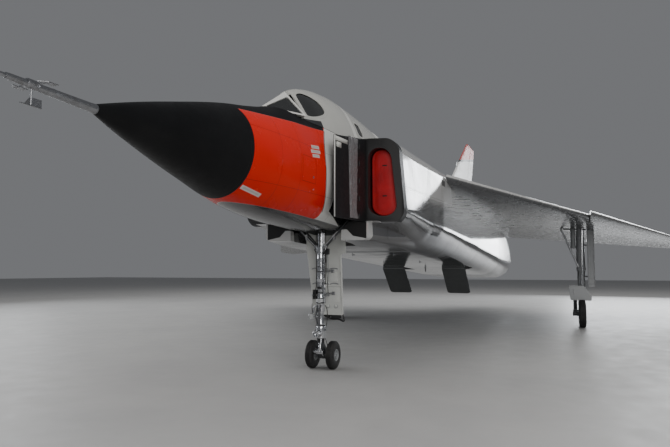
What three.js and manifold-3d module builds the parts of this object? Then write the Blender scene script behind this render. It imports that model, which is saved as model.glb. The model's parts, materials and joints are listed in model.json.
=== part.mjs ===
// Delta-wing twin-engine jet interceptor, parked on its gear.
// Millimetres. +X to the nose, +Y to port (left), +Z up. Z = 0 is the ground, the origin is under the middle of the overall box.
import * as THREE from 'three';
import Module from 'manifold-3d';
import { mergeVertices } from 'three/addons/utils/BufferGeometryUtils.js';

const wasm = await Module();
wasm.setup();

// ---------- driving sizes ----------
const FIT = 0.4;                 // gap between pieces that rest on each other
const RUN = 8;                   // running gap round moving pieces
const SLOPE = 0.05;              // nose-up stance of the parked airframe, rise per length
const NOSE_TIP_X = 10515;        // front of the radome
const PROBE_TIP_X = 11855;
const FWD_AFT_X = 3650;          // aft end of the forward fuselage
const COWL_X = 5656;             // outer lip of the intake cowl
const BODY_HALF = 1450;          // half width of the centre fuselage at the wing
const CENTRE_AFT_X = -5200;      // joint of centre and aft fuselage
const NOSE_GEAR_X = 5595;        // nose wheel axle
const NOSE_LEG_X = 5685;         // nose leg axis, ahead of the axle by the trail
const MAIN_GEAR_X = -3575;
const MAIN_GEAR_Y = 3810;
const SEMI_SPAN = 7620;
const FIN_TOP_Z = 6250;

const COL = {
  white: [0xe8e8e6, 0.28, 0.0], radome: [0x101012, 0.55, 0.0], orange: [0xc8240c, 0.22, 0.0],
  grey: [0x9a9c9e, 0.35, 0.6], black: [0x141416, 0.5, 0.0], chrome: [0xc4c6c8, 0.18, 1.0],
  steel: [0x77797c, 0.35, 0.9], rubber: [0x17171a, 0.85, 0.0], glass: [0x30383a, 0.08, 0.0],
  red: [0xb5121b, 0.45, 0.0], cloth: [0x3c4034, 0.9, 0.0], dark: [0x3a3c3f, 0.5, 0.5],
};

// ---------- solids ----------
const V = (x, y, z) => new THREE.Vector3(x, y, z);
function solid(geometry) {
  const g = geometry.clone();
  for (const a of ['normal', 'uv']) g.deleteAttribute(a);
  const m = mergeVertices(g, 1e-3);
  const mesh = new wasm.Mesh({ numProp: 3, vertProperties: new Float32Array(m.attributes.position.array), triVerts: new Uint32Array(m.index.array) });
  return new wasm.Manifold(mesh);
}
function shape(man) {
  const mesh = man.getMesh();
  const g = new THREE.BufferGeometry();
  g.setAttribute('position', new THREE.BufferAttribute(new Float32Array(mesh.vertProperties), 3));
  g.setIndex(new THREE.BufferAttribute(new Uint32Array(mesh.triVerts), 1));
  g.computeVertexNormals();
  return g;
}
const join = (...list) => list.reduce((a, b) => a.add(b));
const cut = (a, ...list) => list.reduce((p, q) => p.subtract(q), a);
const mirrorY = (g) => {
  const m = g.clone().applyMatrix4(new THREE.Matrix4().makeScale(1, -1, 1));
  const i = m.index.array;
  for (let k = 0; k < i.length; k += 3) { const t = i[k]; i[k] = i[k + 1]; i[k + 1] = t; }
  m.computeVertexNormals();
  return m;
};
// skin through rings of equal point count, flat ends; rings run along `axis` (0 x, 1 y, 2 z)
function loft(rings, axis) {
  const n = rings[0].length;
  const flat = (r) => r.map((p) => new THREE.Vector2(...(axis === 0 ? [p[1], p[2]] : axis === 1 ? [p[2], p[0]] : [p[0], p[1]])));
  if (THREE.ShapeUtils.area(flat(rings[0])) < 0) rings = rings.map((r) => r.slice().reverse());
  const pos = rings.flat(2);
  const idx = [];
  for (let s = 0; s < rings.length - 1; s++) for (let k = 0; k < n; k++) {
    const a = s * n + k, b = s * n + ((k + 1) % n), c = a + n, d = b + n;
    idx.push(a, b, d, a, d, c);
  }
  const cap = THREE.ShapeUtils.triangulateShape(flat(rings[0]), []);
  const last = (rings.length - 1) * n;
  const cap2 = THREE.ShapeUtils.triangulateShape(flat(rings[rings.length - 1]), []);
  for (const t of cap) idx.push(t[0], t[2], t[1]);
  for (const t of cap2) idx.push(last + t[0], last + t[1], last + t[2]);
  const g = new THREE.BufferGeometry();
  g.setAttribute('position', new THREE.BufferAttribute(new Float32Array(pos), 3));
  g.setIndex(idx);
  // volume sign tells whether the skin faces out
  let vol = 0;
  const P = (i) => V(pos[3 * i], pos[3 * i + 1], pos[3 * i + 2]);
  for (let k = 0; k < idx.length; k += 3) vol += P(idx[k]).dot(P(idx[k + 1]).cross(P(idx[k + 2])));
  if (vol < 0) { for (let k = 0; k < idx.length; k += 3) { const t = idx[k]; idx[k] = idx[k + 1]; idx[k + 1] = t; } g.setIndex(idx); }
  return solid(g);
}
const lerpTable = (table, x) => {              // rows sorted by falling first column
  if (x >= table[0][0]) return table[0].slice(1);
  for (let i = 0; i < table.length - 1; i++) {
    const a = table[i], b = table[i + 1];
    if (x >= b[0]) { const t = (a[0] - x) / (a[0] - b[0]); return a.slice(1).map((v, k) => v + (b[k + 1] - v) * t); }
  }
  return table[table.length - 1].slice(1);
};
function box(x0, x1, y0, y1, z0, z1) {
  const g = new THREE.BoxGeometry(Math.abs(x1 - x0), Math.abs(y1 - y0), Math.abs(z1 - z0));
  g.translate((x0 + x1) / 2, (y0 + y1) / 2, (z0 + z1) / 2);
  return solid(g);
}
// round bar between two points, radii at each end
function bar(p, q, r0, r1 = r0, seg = 14) {
  const a = V(...p), b = V(...q), d = b.clone().sub(a);
  const g = new THREE.CylinderGeometry(r1, r0, d.length(), seg);
  g.applyQuaternion(new THREE.Quaternion().setFromUnitVectors(V(0, 1, 0), d.clone().normalize()));
  g.translate(...a.clone().add(b).multiplyScalar(0.5).toArray());
  return solid(g);
}
// closed outline [radius, along Y] turned about Y
const turned = (pts, seg, p) => {
  let g = new THREE.LatheGeometry(pts.map(([a, b]) => new THREE.Vector2(a, b)), seg);
  g.deleteAttribute('normal'); g.deleteAttribute('uv');
  g = mergeVertices(g, 1e-3);
  let vol = 0; const a = g.attributes.position, i = g.index.array, P = (k) => V(a.getX(k), a.getY(k), a.getZ(k));
  for (let k = 0; k < i.length; k += 3) vol += P(i[k]).dot(P(i[k + 1]).cross(P(i[k + 2])));
  if (vol < 0) for (let k = 0; k < i.length; k += 3) { const t = i[k]; i[k] = i[k + 1]; i[k + 1] = t; }
  g.translate(...p);
  return solid(g);
};
// outline in X-Z extruded between two Y planes
function slabY(points, y0, y1) {
  return loft([Math.min(y0, y1), Math.max(y0, y1)].map((y) => points.map(([x, z]) => [x, y, z])), 1);
}
// outline in X-Y extruded between two Z planes
function slabZ(points, z0, z1) {
  return loft([Math.min(z0, z1), Math.max(z0, z1)].map((z) => points.map(([x, y]) => [x, y, z])), 2);
}

// ---------- outline rings ----------
// oval ring: separate top and bottom fullness
function oval(x, half, zTop, zWide, zBottom, nTop, nBottom, grow = 0, n = 28) {
  const ring = [];
  for (let k = 0; k < n; k++) {
    const a = (2 * Math.PI * (k + 0.5)) / n, c = Math.cos(a), s = Math.sin(a);
    const e = s > 0 ? nTop : nBottom, h = (s > 0 ? zTop - zWide : zWide - zBottom) + grow;
    ring.push([x, Math.sign(c) * Math.abs(c) ** (2 / e) * (half + grow), zWide + Math.sign(s) * Math.abs(s) ** (2 / e) * h]);
  }
  return ring;
}
// box ring with rounded corners: y from -half to half
function roundBox(x, y0, y1, z0, z1, rTop, rBottom, grow = 0, seg = 5) {
  const ring = [];
  const [a0, a1, b0, b1] = [y0 - grow, y1 + grow, z0 - grow, z1 + grow];
  for (const [cy, cz, r, start] of [[a1, b1, rTop, 0], [a0, b1, rTop, 90], [a0, b0, rBottom, 180], [a1, b0, rBottom, 270]]) {
    const R = r + grow, oy = cy + (start === 0 || start === 270 ? -R : R), oz = cz + (start < 180 ? -R : R);
    for (let k = 0; k <= seg; k++) {
      const t = ((start + (90 * k) / seg) * Math.PI) / 180;
      ring.push([x, oy + R * Math.cos(t), oz + R * Math.sin(t)]);
    }
  }
  return ring;
}
const circle = (x, y, z, r, n = 24) => Array.from({ length: n }, (_, k) => [x, y + r * Math.cos((2 * Math.PI * k) / n), z + r * Math.sin((2 * Math.PI * k) / n)]);

// ---------- radome, probe and forward fuselage ----------
// x, half width, top, widest height, bottom, top fullness, bottom fullness
const NOSE = [
  [10515, 45, 2885, 2840, 2795, 2, 2],
  [10250, 128, 2966, 2842, 2712, 2, 2],
  [9900, 225, 3066, 2842, 2615, 2, 2],
  [9450, 332, 3184, 2840, 2496, 2, 2],
  [9050, 414, 3286, 2840, 2396, 2, 2],
  [8675, 480, 3372, 2836, 2300, 2, 2],
];
const FORWARD = [
  [8675, 480, 3372, 2836, 2300, 2, 2],
  [8200, 538, 3462, 2835, 2212, 2, 2.15],
  [7660, 572, 3592, 2835, 2152, 2, 2.35],
  [7300, 580, 3770, 2840, 2126, 1.7, 2.45],
  [6970, 585, 3985, 2845, 2108, 1.5, 2.5],
  [6600, 590, 4115, 2850, 2094, 1.62, 2.5],
  [6150, 594, 4200, 2850, 2080, 1.75, 2.5],
  [5555, 600, 4240, 2845, 2062, 1.85, 2.5],
  [4600, 610, 4215, 2825, 2030, 1.9, 2.5],
  [3650, 620, 4160, 2785, 1985, 1.9, 2.5],
];
const ovalLoft = (table, grow = 0) => loft(table.map(([x, ...r]) => oval(x, ...r, grow)), 0);
const radome = ovalLoft(NOSE.map((r, i) => (i === NOSE.length - 1 ? [r[0] + FIT, ...r.slice(1)] : r)));

const SILL = (x) => 3420 + (x - 3700) * 0.0229;         // canopy sill height
const BOW_FOOT = [7215, 3512], BOW_TOP = [6965, 4000];  // windscreen bow in side view (x, z)
const bowX = (z) => BOW_FOOT[0] + ((z - BOW_FOOT[1]) / (BOW_TOP[1] - BOW_FOOT[1])) * (BOW_TOP[0] - BOW_FOOT[0]);
const SCREEN_FRONT = [7650, 3598];
// canopy bays: front bay, rear bay (x forward end, x aft end)
const BAY = { front: [null, 5470], rear: [5330, 3950] };
const SHELL = 50;

const hull = ovalLoft(FORWARD);
const hullIn = ovalLoft(FORWARD, -SHELL);
const bayCut = {
  front: slabY([[bowX(SILL(7200)), SILL(7200)], [bowX(4600), 4600], [BAY.front[1], 4600], [BAY.front[1], SILL(BAY.front[1])]], -900, 900),
  rear: slabY([[BAY.rear[0], SILL(BAY.rear[0])], [BAY.rear[0], 4600], [BAY.rear[1], 4600], [BAY.rear[1], SILL(BAY.rear[1])]], -900, 900),
};
const screenCut = slabY([[SCREEN_FRONT[0], SCREEN_FRONT[1]], [7800, 4600], [bowX(4600), 4600], [bowX(3500), 3500]], -900, 900);
const tubs = [
  [7300, 5500, 2860], [5300, 3980, 2860],
].map(([x1, x0, z0]) => hullIn.intersect(box(x0, x1, -520, 520, z0, 4600)));
const noseBay = box(5330, 6250, -250, 250, 1900, 2700);
// ventral pack: a keel slab that closes the belly behind the nose gear (x front, x aft; its top edge line)
const PACK_X = [3850, -870];
const packTop = (x) => 2300 + (x - 3850) * ((2300 - 2090) / (3850 + 1105));
const packSlab = (gap) => slabY([[PACK_X[0] + gap, packTop(PACK_X[0]) + gap], [PACK_X[1] - gap, packTop(PACK_X[1]) + gap], [PACK_X[1] - gap, 1300], [PACK_X[0] + gap, 1300]], -1700, 1700);
const forwardFuselage = cut(hull, bayCut.front, bayCut.rear, screenCut, ...tubs, noseBay, packSlab(FIT));

// canopy halves: shells that open outwards about the sills, with one window each
// window outline in side view (x, z)
const WINDOW = {
  front: [[6955, 3925], [7030, 3588], [6880, 3600], [6700, 3645], [6480, 3722], [6385, 3790], [6390, 3870], [6445, 3945], [6590, 3998], [6780, 4010]],
  rear: [[5225, 3880], [5225, 3720], [5185, 3680], [5010, 3680], [4965, 3720], [4965, 3880], [5010, 3920], [5185, 3920]],
};
const inset = (pts, d) => {                   // shrink a convex outline towards its middle
  const cx = pts.reduce((s, p) => s + p[0], 0) / pts.length, cz = pts.reduce((s, p) => s + p[1], 0) / pts.length;
  return pts.map(([x, z]) => { const l = Math.hypot(x - cx, z - cz); return [x + ((cx - x) * d) / l, z + ((cz - z) * d) / l]; });
};
const shellHalf = hull.subtract(hullIn).intersect(box(3000, 8000, RUN / 2, 900, 2900, 4600));
const bayTrim = {
  front: slabY([[bowX(SILL(7200)) - 2 * RUN, SILL(7200) + RUN], [bowX(4600) - RUN, 4600], [BAY.front[1] + RUN, 4600], [BAY.front[1] + RUN, SILL(BAY.front[1]) + RUN]], 0, 900),
  rear: slabY([[BAY.rear[0] - RUN, SILL(BAY.rear[0]) + RUN], [BAY.rear[0] - RUN, 4600], [BAY.rear[1] + RUN, 4600], [BAY.rear[1] + RUN, SILL(BAY.rear[1]) + RUN]], 0, 900),
};
// hinge lines of the halves, along the sill (distance out, height above the sill)
const HINGE = { front: { y: 575, dz: 0 }, rear: { y: 556, dz: 62 } };
// the front edge of a front half is turned about its own hinge line, so it clears the windscreen at every angle (radius, place along the hinge from x 7200)
const FRONT_EDGE = [[0, 23], [90, -8], [375, -140], [743, -222], [1200, -300]];
const frontTrim = (() => {
  const ring = turned([[0, -2200], [1200, -2200], ...FRONT_EDGE.slice().reverse()], 48, [0, 0, 0]);
  const m = new THREE.Matrix4().makeTranslation(7200, HINGE.front.y, SILL(7200) + HINGE.front.dz)
    .multiply(new THREE.Matrix4().makeRotationFromQuaternion(new THREE.Quaternion().setFromUnitVectors(V(0, 1, 0), V(1, 0, 0.0229).normalize())));
  return ring.transform(m.elements);
})();
const glassSkin = ovalLoft(FORWARD, -10).subtract(ovalLoft(FORWARD, -30));
const canopy = {}, pane = {};
for (const bay of ['front', 'rear']) {
  canopy[bay] = shellHalf.intersect(bayTrim[bay]).subtract(slabY(WINDOW[bay], 20, 900));
  if (bay === 'front') canopy[bay] = canopy[bay].intersect(frontTrim);
  pane[bay] = glassSkin.intersect(slabY(inset(WINDOW[bay], FIT * 2), 20, 900)).intersect(bayTrim[bay]);
}

// windscreen: two flat panes in a V, carried by a frame
const A = V(SCREEN_FRONT[0] - 6, 0, SCREEN_FRONT[1] + 1), B = V(6985, 0, 3972), C = V(7212, 440, 3528);
const hullOf = (pts) => {                       // wedge with a ridge A-B and two feet C
  const P = pts.map((p) => p.toArray());
  const g = new THREE.BufferGeometry();
  g.setAttribute('position', new THREE.BufferAttribute(new Float32Array(P.flat()), 3));
  g.setIndex([0, 1, 2, 0, 3, 1, 1, 3, 2, 0, 2, 3]);
  let vol = 0;
  const T = [[0, 1, 2], [0, 3, 1], [1, 3, 2], [0, 2, 3]];
  for (const t of T) vol += pts[t[0]].dot(pts[t[1]].clone().cross(pts[t[2]]));
  if (vol < 0) g.setIndex(T.flatMap((t) => [t[0], t[2], t[1]]));
  return solid(g);
};
const mir = (p) => V(p.x, -p.y, p.z);
const screenOut = hullOf([A, B, C, mir(C)]);
const drop = V(-52, 0, -62);
const screenIn = hullOf([A.clone().add(V(-75, 0, -30)), B.clone().add(V(-60, 0, -75)), C.clone().add(V(-60, -50, -40)), mir(C.clone().add(V(-60, -50, -40)))]);
// corners of the glass, as shares of A, B and C: the frame is widest at the top
const GLASS = [[0.9, 0.05, 0.05], [0.06, 0.77, 0.17], [0.04, 0.07, 0.89]];
const glassCorner = ([a, b, c]) => A.clone().multiplyScalar(a).addScaledVector(B, b).addScaledVector(C, c);
const glassMid = GLASS.reduce((m, w) => m.addScaledVector(glassCorner(w), 1 / 3), V(0, 0, 0));
const faceN = B.clone().sub(A).cross(C.clone().sub(A)).normalize();
if (faceN.y < 0) faceN.negate();
function facePrism(k, d0, d1) {                 // triangular prism through the port pane
  const t = GLASS.map((w) => glassCorner(w).lerp(glassMid, k));
  return loft([d0, d1].map((d) => t.map((p) => p.clone().addScaledVector(faceN, d).toArray())), 1);
}
let screenFrame = cut(screenOut, screenIn);
const hole = facePrism(0, -90, 60);
screenFrame = cut(screenFrame, hole, solid(mirrorY(shape(hole))));
const paneScreen = facePrism(0.006, -26, -8);

// ---------- centre and aft fuselage ----------
// x, bottom, top, top corner radius, bottom corner radius, half width
const CENTRE = [
  [5960, 2232, 3502, 190, 200, 1282],
  [5300, 2168, 3494, 220, 290, 1312],
  [4600, 2010, 3467, 240, 430, 1348],
  [3900, 1872, 3440, 250, 520, 1390],
  [3085, 1818, 3400, 230, 560, 1436],
  [1500, 1731, 3340, 150, 570, 1450],
  [-1000, 1601, 3235, 120, 570, 1450],
  [-3500, 1471, 3100, 110, 570, 1450],
  [-5200, 1383, 2990, 110, 560, 1450],
];
const AFT = [
  [-5200, 1383, 2990, 110, 560, 1450],
  [-7000, 1302, 2880, 180, 580, 1430],
  [-8600, 1256, 2765, 330, 620, 1385],
  [-9800, 1240, 2655, 500, 640, 1330],
  [-10700, 1246, 2560, 600, 640, 1270],
];
// the outer side of each cowl leans out towards its foot, less and less aft
const leanAt = (x) => Math.min(1, Math.max(0, (x - 3900) / 1400));
const bodyLoft = (table, grow) => loft(table.map(([x, b, t, rt, rb, w]) => roundBox(x, -w, w, b, t, rt, rb, grow).map(([px, py, pz]) => [px, py * (1 + 6.4e-5 * leanAt(x) * (2850 - pz)), pz])), 0);
const centreLoft = (grow) => bodyLoft(CENTRE, grow);
const aftLoft = (grow) => bodyLoft(AFT, grow);
// keel fairings that carry the flat belly forwards on each side of the nose gear (same columns)
const KEEL = [
  [5900, 1960, 2500, 60, 90, 810],
  [5300, 1929, 2500, 60, 120, 950],
  [4600, 1893, 2500, 60, 200, 1090],
  [3860, 1856, 2500, 60, 300, 1200],
];
const keelTrough = loft([[6600, 470], [5330, 430], [4980, 360]].map(([x, w]) => [[x, -w, 2600], [x, -w + 60, 1500], [x, w - 60, 1500], [x, w, 2600]]), 0);
const keel = cut(bodyLoft(KEEL, 0), keelTrough);
const centreOut = join(centreLoft(0), keel);
// lip plane of the cowls, swept slightly forward towards the fuselage
const lipCut = cut(slabZ([[COWL_X, 1600], [COWL_X, 1290], [COWL_X + 110, 800], [COWL_X + 110, 0], [7000, 0], [7000, 1600]], 1500, 4500), box(5000, 7000, -1000, 1000, 1500, 2232));
const lipCutR = solid(mirrorY(shape(lipCut)));
// boundary-layer channel beside the forward fuselage (x, gap)
const CHANNEL = [[6400, 78], [5500, 72], [5000, 40], [4700, FIT]];
const forwardGrown = (gapTable) => {
  const xs = [6500, 6150, 5500, 5000, 4700, 4600, 3650, 3640];
  return loft(xs.map((x) => {
    const [half, t, zw, b, nt, nb] = lerpTable(FORWARD, x);
    const [g] = lerpTable(gapTable, x);
    return oval(x, half, t, zw, b, nt, nb, g);
  }), 0);
};
const forwardClear = forwardGrown(CHANNEL);
// duct from the mouth to the first compressor bulkhead (x, y inner, y outer, bottom, top, top and bottom corner radius)
const MOUTH = { y0: 808, y1: 1182, z0: 2322, z1: 3350, rTop: 165, rBottom: 180 };
const DUCT = [
  [6100, 766, 1182, 2322, 3350, 165, 180],
  [5640, 807, 1182, 2322, 3350, 165, 180],
  [5450, 808, 1182, 2322, 3350, 165, 180],
  [4500, 794, 1215, 2240, 3296, 195, 200],
  [3100, 760, 1290, 2150, 3110, 215, 215],
];
const ductLean = (ring) => ring.map(([x, y, z]) => [x, y < MOUTH.y0 ? y : MOUTH.y0 + (y - MOUTH.y0) * (1 + 2.77e-4 * leanAt(x) * (2840 - z)), z]);
const duct = loft(DUCT.map(([x, y0, y1, z0, z1, rt, rb]) => ductLean(roundBox(x, y0, y1, z0, z1, rt, rb))), 0);
const ductR = solid(mirrorY(shape(duct)));
const weaponsPack = centreOut.intersect(packSlab(0));

// air brakes: plate on a front hinge, shown open
const BRAKE = { x: -1090, z: 1642, y: 785, half: 300, length: 1085, thick: 48, open: 37.1 };
const brakeRecess = [1, -1].map((s) => {
  const y0 = s * (BRAKE.y - BRAKE.half - 12), y1 = s * (BRAKE.y + BRAKE.half + 12);
  return slabY([[BRAKE.x + 75, 1300], [BRAKE.x + 75, BRAKE.z + 30], [BRAKE.x - BRAKE.length - 20, BRAKE.z + 30 - 60], [BRAKE.x - BRAKE.length - 20, 1300]], y0, y1);
});

// engine tunnels and engines follow the stance (x, height of the axis)
const ENGINE = { y: 655, r: 520, front: -5450, aft: -10300, tunnel: 548 };
const axisZ = (x) => 2165 + (x + 5400) * SLOPE;
const tube = (x1, x0, r0, r1, y, n = 24) => loft([circle(x1, y, axisZ(x1), r1, n), circle(x0, y, axisZ(x0), r0, n)], 0);
const tunnels = [1, -1].map((s) => tube(ENGINE.front + 60, -10900, ENGINE.tunnel, ENGINE.tunnel, s * ENGINE.y));
const tunnelFront = [1, -1].map((s) => tube(ENGINE.front + 300, ENGINE.front, ENGINE.tunnel, ENGINE.tunnel, s * ENGINE.y));

const centreFuselage = cut(centreOut, lipCut, lipCutR, forwardClear, duct, ductR, packSlab(FIT), ...brakeRecess).intersect(box(CENTRE_AFT_X + FIT, 7000, -2000, 2000, 0, 5000));
const aftFuselage = cut(aftLoft(0), ...tunnels);
const engine = tube(ENGINE.front, ENGINE.aft, ENGINE.r, ENGINE.r, ENGINE.y);
// nozzle: open ring behind the engine (x, outer radius, inner radius)
const nozzleOut = loft([[-10320, 530], [-10710, 530], [-11150, 545], [-11560, 500]].map(([x, r]) => circle(x, ENGINE.y, axisZ(x), r)), 0);
const nozzleIn = loft([[-10420, 440], [-11100, 430], [-11600, 462]].map(([x, r]) => circle(x, ENGINE.y, axisZ(x), r)), 0);
const nozzle = cut(nozzleOut, nozzleIn);

// ---------- dorsal spine, tail cone ----------
// x, half width, top, bottom
const SPINE = [
  [3650, 620, 4160, 2785],
  [2400, 555, 4085, 2900],
  [800, 470, 3985, 2900],
  [-1500, 400, 3815, 2800],
  [-4000, 350, 3600, 2700],
  [-7000, 310, 3345, 2600],
  [-8900, 300, 3185, 2480],
  [-10200, 280, 2960, 2300],
];
const spineOut = (grow) => loft(SPINE.map(([x, w, t, b], i) => {
  const k = Math.min(1, (3650 - x) / 4000);
  return oval(x, w, t, b + 100, b, 1.9 + 0.5 * k, 2.4, grow);
}), 0);
const spine = cut(spineOut(0), centreLoft(FIT), aftLoft(FIT)).intersect(box(-9300, FWD_AFT_X - FIT, -900, 900, 0, 5000));
// tail cone between the nozzles (x, half width, top, bottom)
const TAIL = [
  [-9300, 296, 3134, 2420],
  [-10200, 268, 2960, 2150],
  [-10900, 180, 2790, 2080],
  [-11500, 100, 2600, 2080],
  [-11855, 50, 2430, 2130],
];
const tailCone = cut(loft(TAIL.map(([x, w, t, b], i) => oval(x - (i ? 0 : FIT), w, t, (t + b) / 2, b, 2.2, 2.2)), 0), aftLoft(FIT), ...[1, -1].map((s) => loft([[-9000, 560], [-11700, 560]].map(([x, r]) => circle(x, s * ENGINE.y, axisZ(x), r)), 0)));

// ---------- wings ----------
const WING_ROOT = { le: 5751, te: -7965 };                      // at the centre line
const WING_TIP = { le: -8265, te: -9480 };                      // at the semi span
const ANHEDRAL = Math.tan((4.06 * Math.PI) / 180);
const wingLE = (y) => WING_ROOT.le + ((WING_TIP.le - WING_ROOT.le) * y) / SEMI_SPAN;
const wingTE = (y) => WING_ROOT.te + ((WING_TIP.te - WING_ROOT.te) * y) / SEMI_SPAN;
const wingZ = (x, y) => 3270 - SLOPE * (3085 - x) - ANHEDRAL * (y - BODY_HALF);
const profile = (s, tc) => 5 * tc * (0.2969 * Math.sqrt(s) - 0.126 * s - 0.3516 * s ** 2 + 0.2843 * s ** 3 - 0.1036 * s ** 4);
const STEPS = [0, 0.012, 0.05, 0.15, 0.35, 0.6, 0.85, 1];
function wingRing(y, le, te, tc) {
  const c = le - te, up = [], down = [];
  for (const s of STEPS) {
    const x = le - s * c, h = Math.max(profile(s, tc) * c, s === 0 ? 0 : 5);
    up.push([x, y, wingZ(x, y) + h]);
    if (s > 0) down.push([x, y, wingZ(x, y) - h]);
  }
  return [...up, ...down.reverse()];
}
const DOGTOOTH_Y = 4040, TIP_TC = 0.038, ROOT_TC = 0.036;
const inner = loft([BODY_HALF + FIT, 2600, DOGTOOTH_Y].map((y) => wingRing(y, wingLE(y), wingTE(y), ROOT_TC)), 1);
const outLE = (y) => wingLE(y) + 0.09 * (wingLE(y) - wingTE(y));
const outer = loft([DOGTOOTH_Y - 1, 5900, SEMI_SPAN - 60].map((y) => wingRing(y, outLE(y), wingTE(y), TIP_TC)).concat([wingRing(SEMI_SPAN, outLE(SEMI_SPAN) - 120, wingTE(SEMI_SPAN) + 60, 0.02)]), 1);
const wingWhole = join(inner, outer);
// trailing surfaces: y inner, y outer, chord inner, chord outer
const SURFACE = {
  elevator: { y0: 1475, y1: 4020, c0: 1760, c1: 1560 },
  aileron: { y0: 4065, y1: 7200, c0: 1120, c1: 860 },
};
const COVE = 14;                                 // gap between a surface's round nose and its cove
const noseRadius = (y, x) => {
  const out = y > DOGTOOTH_Y, le = out ? outLE(y) : wingLE(y), c = le - wingTE(y);
  return profile((le - x) / c, out ? TIP_TC : ROOT_TC) * c;
};
const hingePoint = (s, y) => {
  const k = (y - s.y0) / (s.y1 - s.y0);
  const x = wingTE(y) + s.c0 + (s.c1 - s.c0) * k;
  return [x, y, wingZ(x, y)];
};
let wing = wingWhole;
const surface = {};
for (const [name, s] of Object.entries(SURFACE)) {
  const a = hingePoint(s, s.y0), b = hingePoint(s, s.y1);
  const region = (g) => slabZ([[hingePoint(s, s.y0 - g)[0] + g, s.y0 - g], [hingePoint(s, s.y1 + g)[0] + g, s.y1 + g], [-12000, s.y1 + g], [-12000, s.y0 - g]], 1000, 4500);
  const nose = (g, end) => bar(hingePoint(s, s.y0 - end), hingePoint(s, s.y1 + end), noseRadius(s.y0, a[0]) * 0.985 + g, noseRadius(s.y1, b[0]) * 0.985 + g, 16);
  surface[name] = { solid: join(wingWhole.intersect(region(0)), nose(0, 0).intersect(box(-12000, 5000, s.y0, s.y1, 0, 5000))), a, b };
  wing = cut(wing, region(COVE), nose(COVE, COVE));
}
// leg bay under each wing
const LEG_BAY = [[MAIN_GEAR_X + 170, 3380], [MAIN_GEAR_X + 170, 3960], [MAIN_GEAR_X - 170, 3960], [MAIN_GEAR_X - 170, 3380]];
wing = cut(wing, slabZ(LEG_BAY, 1800, 2765));

// ---------- fin and rudder ----------
const finLE = (z) => -3055 - 1.8 * (z - 3300);
const finTE = (z) => -8505 - 0.522 * (z - 3300);
function finRing(z, le, te, tc, tilt = 0) {
  const c = le - te, up = [], down = [];
  for (const s of STEPS) {
    const x = le - s * c, h = Math.max(profile(s, tc) * c, s === 0 ? 0 : 5);
    up.push([x, h, z + tilt * s]);
    if (s > 0) down.push([x, -h, z + tilt * s]);
  }
  return [...up, ...down.reverse()];
}
const finWhole = loft([
  finRing(2900, finLE(2900), finTE(2900), 0.04), finRing(4600, finLE(4600), finTE(4600), 0.04),
  finRing(6190, finLE(6190), finTE(6190), 0.04), finRing(FIN_TOP_Z, finLE(FIN_TOP_Z) - 120, finTE(FIN_TOP_Z) + 60, 0.02),
], 2);
const RUDDER = { z0: 3450, z1: 6010, c0: 1450, c1: 960, r0: 62, r1: 42 };
const rudderHinge = (z) => { const k = (z - RUDDER.z0) / (RUDDER.z1 - RUDDER.z0); return [finTE(z) + RUDDER.c0 + (RUDDER.c1 - RUDDER.c0) * k, 0, z]; };
const rudderRegion = (g) => slabY([[rudderHinge(RUDDER.z0 - g)[0] + g, RUDDER.z0 - g], [rudderHinge(RUDDER.z1 + g)[0] + g, RUDDER.z1 + g], [-12500, RUDDER.z1 + g], [-12500, RUDDER.z0 - g]], -600, 600);
const rudderNose = (g, e) => bar(rudderHinge(RUDDER.z0 - e), rudderHinge(RUDDER.z1 + e), RUDDER.r0 + g, RUDDER.r1 + g, 16);
const rudder = join(finWhole.intersect(rudderRegion(0)), rudderNose(0, 0).intersect(box(-12000, 0, -500, 500, RUDDER.z0, RUDDER.z1)));
const fin = cut(finWhole, rudderRegion(COVE), rudderNose(COVE, COVE), spineOut(FIT), centreLoft(FIT), aftLoft(FIT));

// ---------- intakes ----------
const RAMP = { front: 6800, aft: COWL_X + 112, z0: 2233, z1: 3362, z2: 3484 };
const rampTop = slabY([[RAMP.front + 20, RAMP.z0 - 50], [RAMP.front + 20, RAMP.z1 - 2.4], [RAMP.aft - 20, RAMP.z2 + 2.4], [RAMP.aft - 20, RAMP.z0 - 50]], 0, 1200);
const ramp = slabZ([[RAMP.front, 652], [RAMP.front, 660], [RAMP.aft, 778], [RAMP.aft, 700], [6600, 664]], RAMP.z0, 3600).intersect(rampTop);
const rampFoot = box(RAMP.aft + 20, 6500, 520, 690, 2740, 2810);
const coverRing = (x, g) => ductLean(roundBox(x, MOUTH.y0 + g, MOUTH.y1 - g, MOUTH.z0 + g, MOUTH.z1 - g, MOUTH.rTop - g, MOUTH.rBottom - g));
const intakeCover = loft([coverRing(5620, 7), coverRing(5560, 7)], 0);

// ---------- cockpit ----------
function seat(x) {                               // x of the seat back's foot
  const back = slabY([[x, 3000], [x + 130, 3000], [x + 20, 3900], [x - 110, 3900]], -210, 210);
  const pan = box(x + 60, x + 520, -220, 220, 2960, 3130);
  const rails = box(x - 60, x + 60, -90, 90, 2860.4, 3010);
  const head = slabY([[x + 20, 3700], [x + 90, 3720], [x + 60, 3960], [x - 70, 3960], [x - 90, 3700]], -120, 120);
  return join(back, pan, rails, head);
}
const seatFront = seat(5700), seatRear = seat(4200);
const panelFront = slabY([[7180, 3420], [7100, 3440], [7020, 3080], [7080, 3050]], -330, 330);
const panelRear = slabY([[5285, 3540], [5220, 3540], [5180, 3100], [5285, 3060]], -330, 330);

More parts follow.
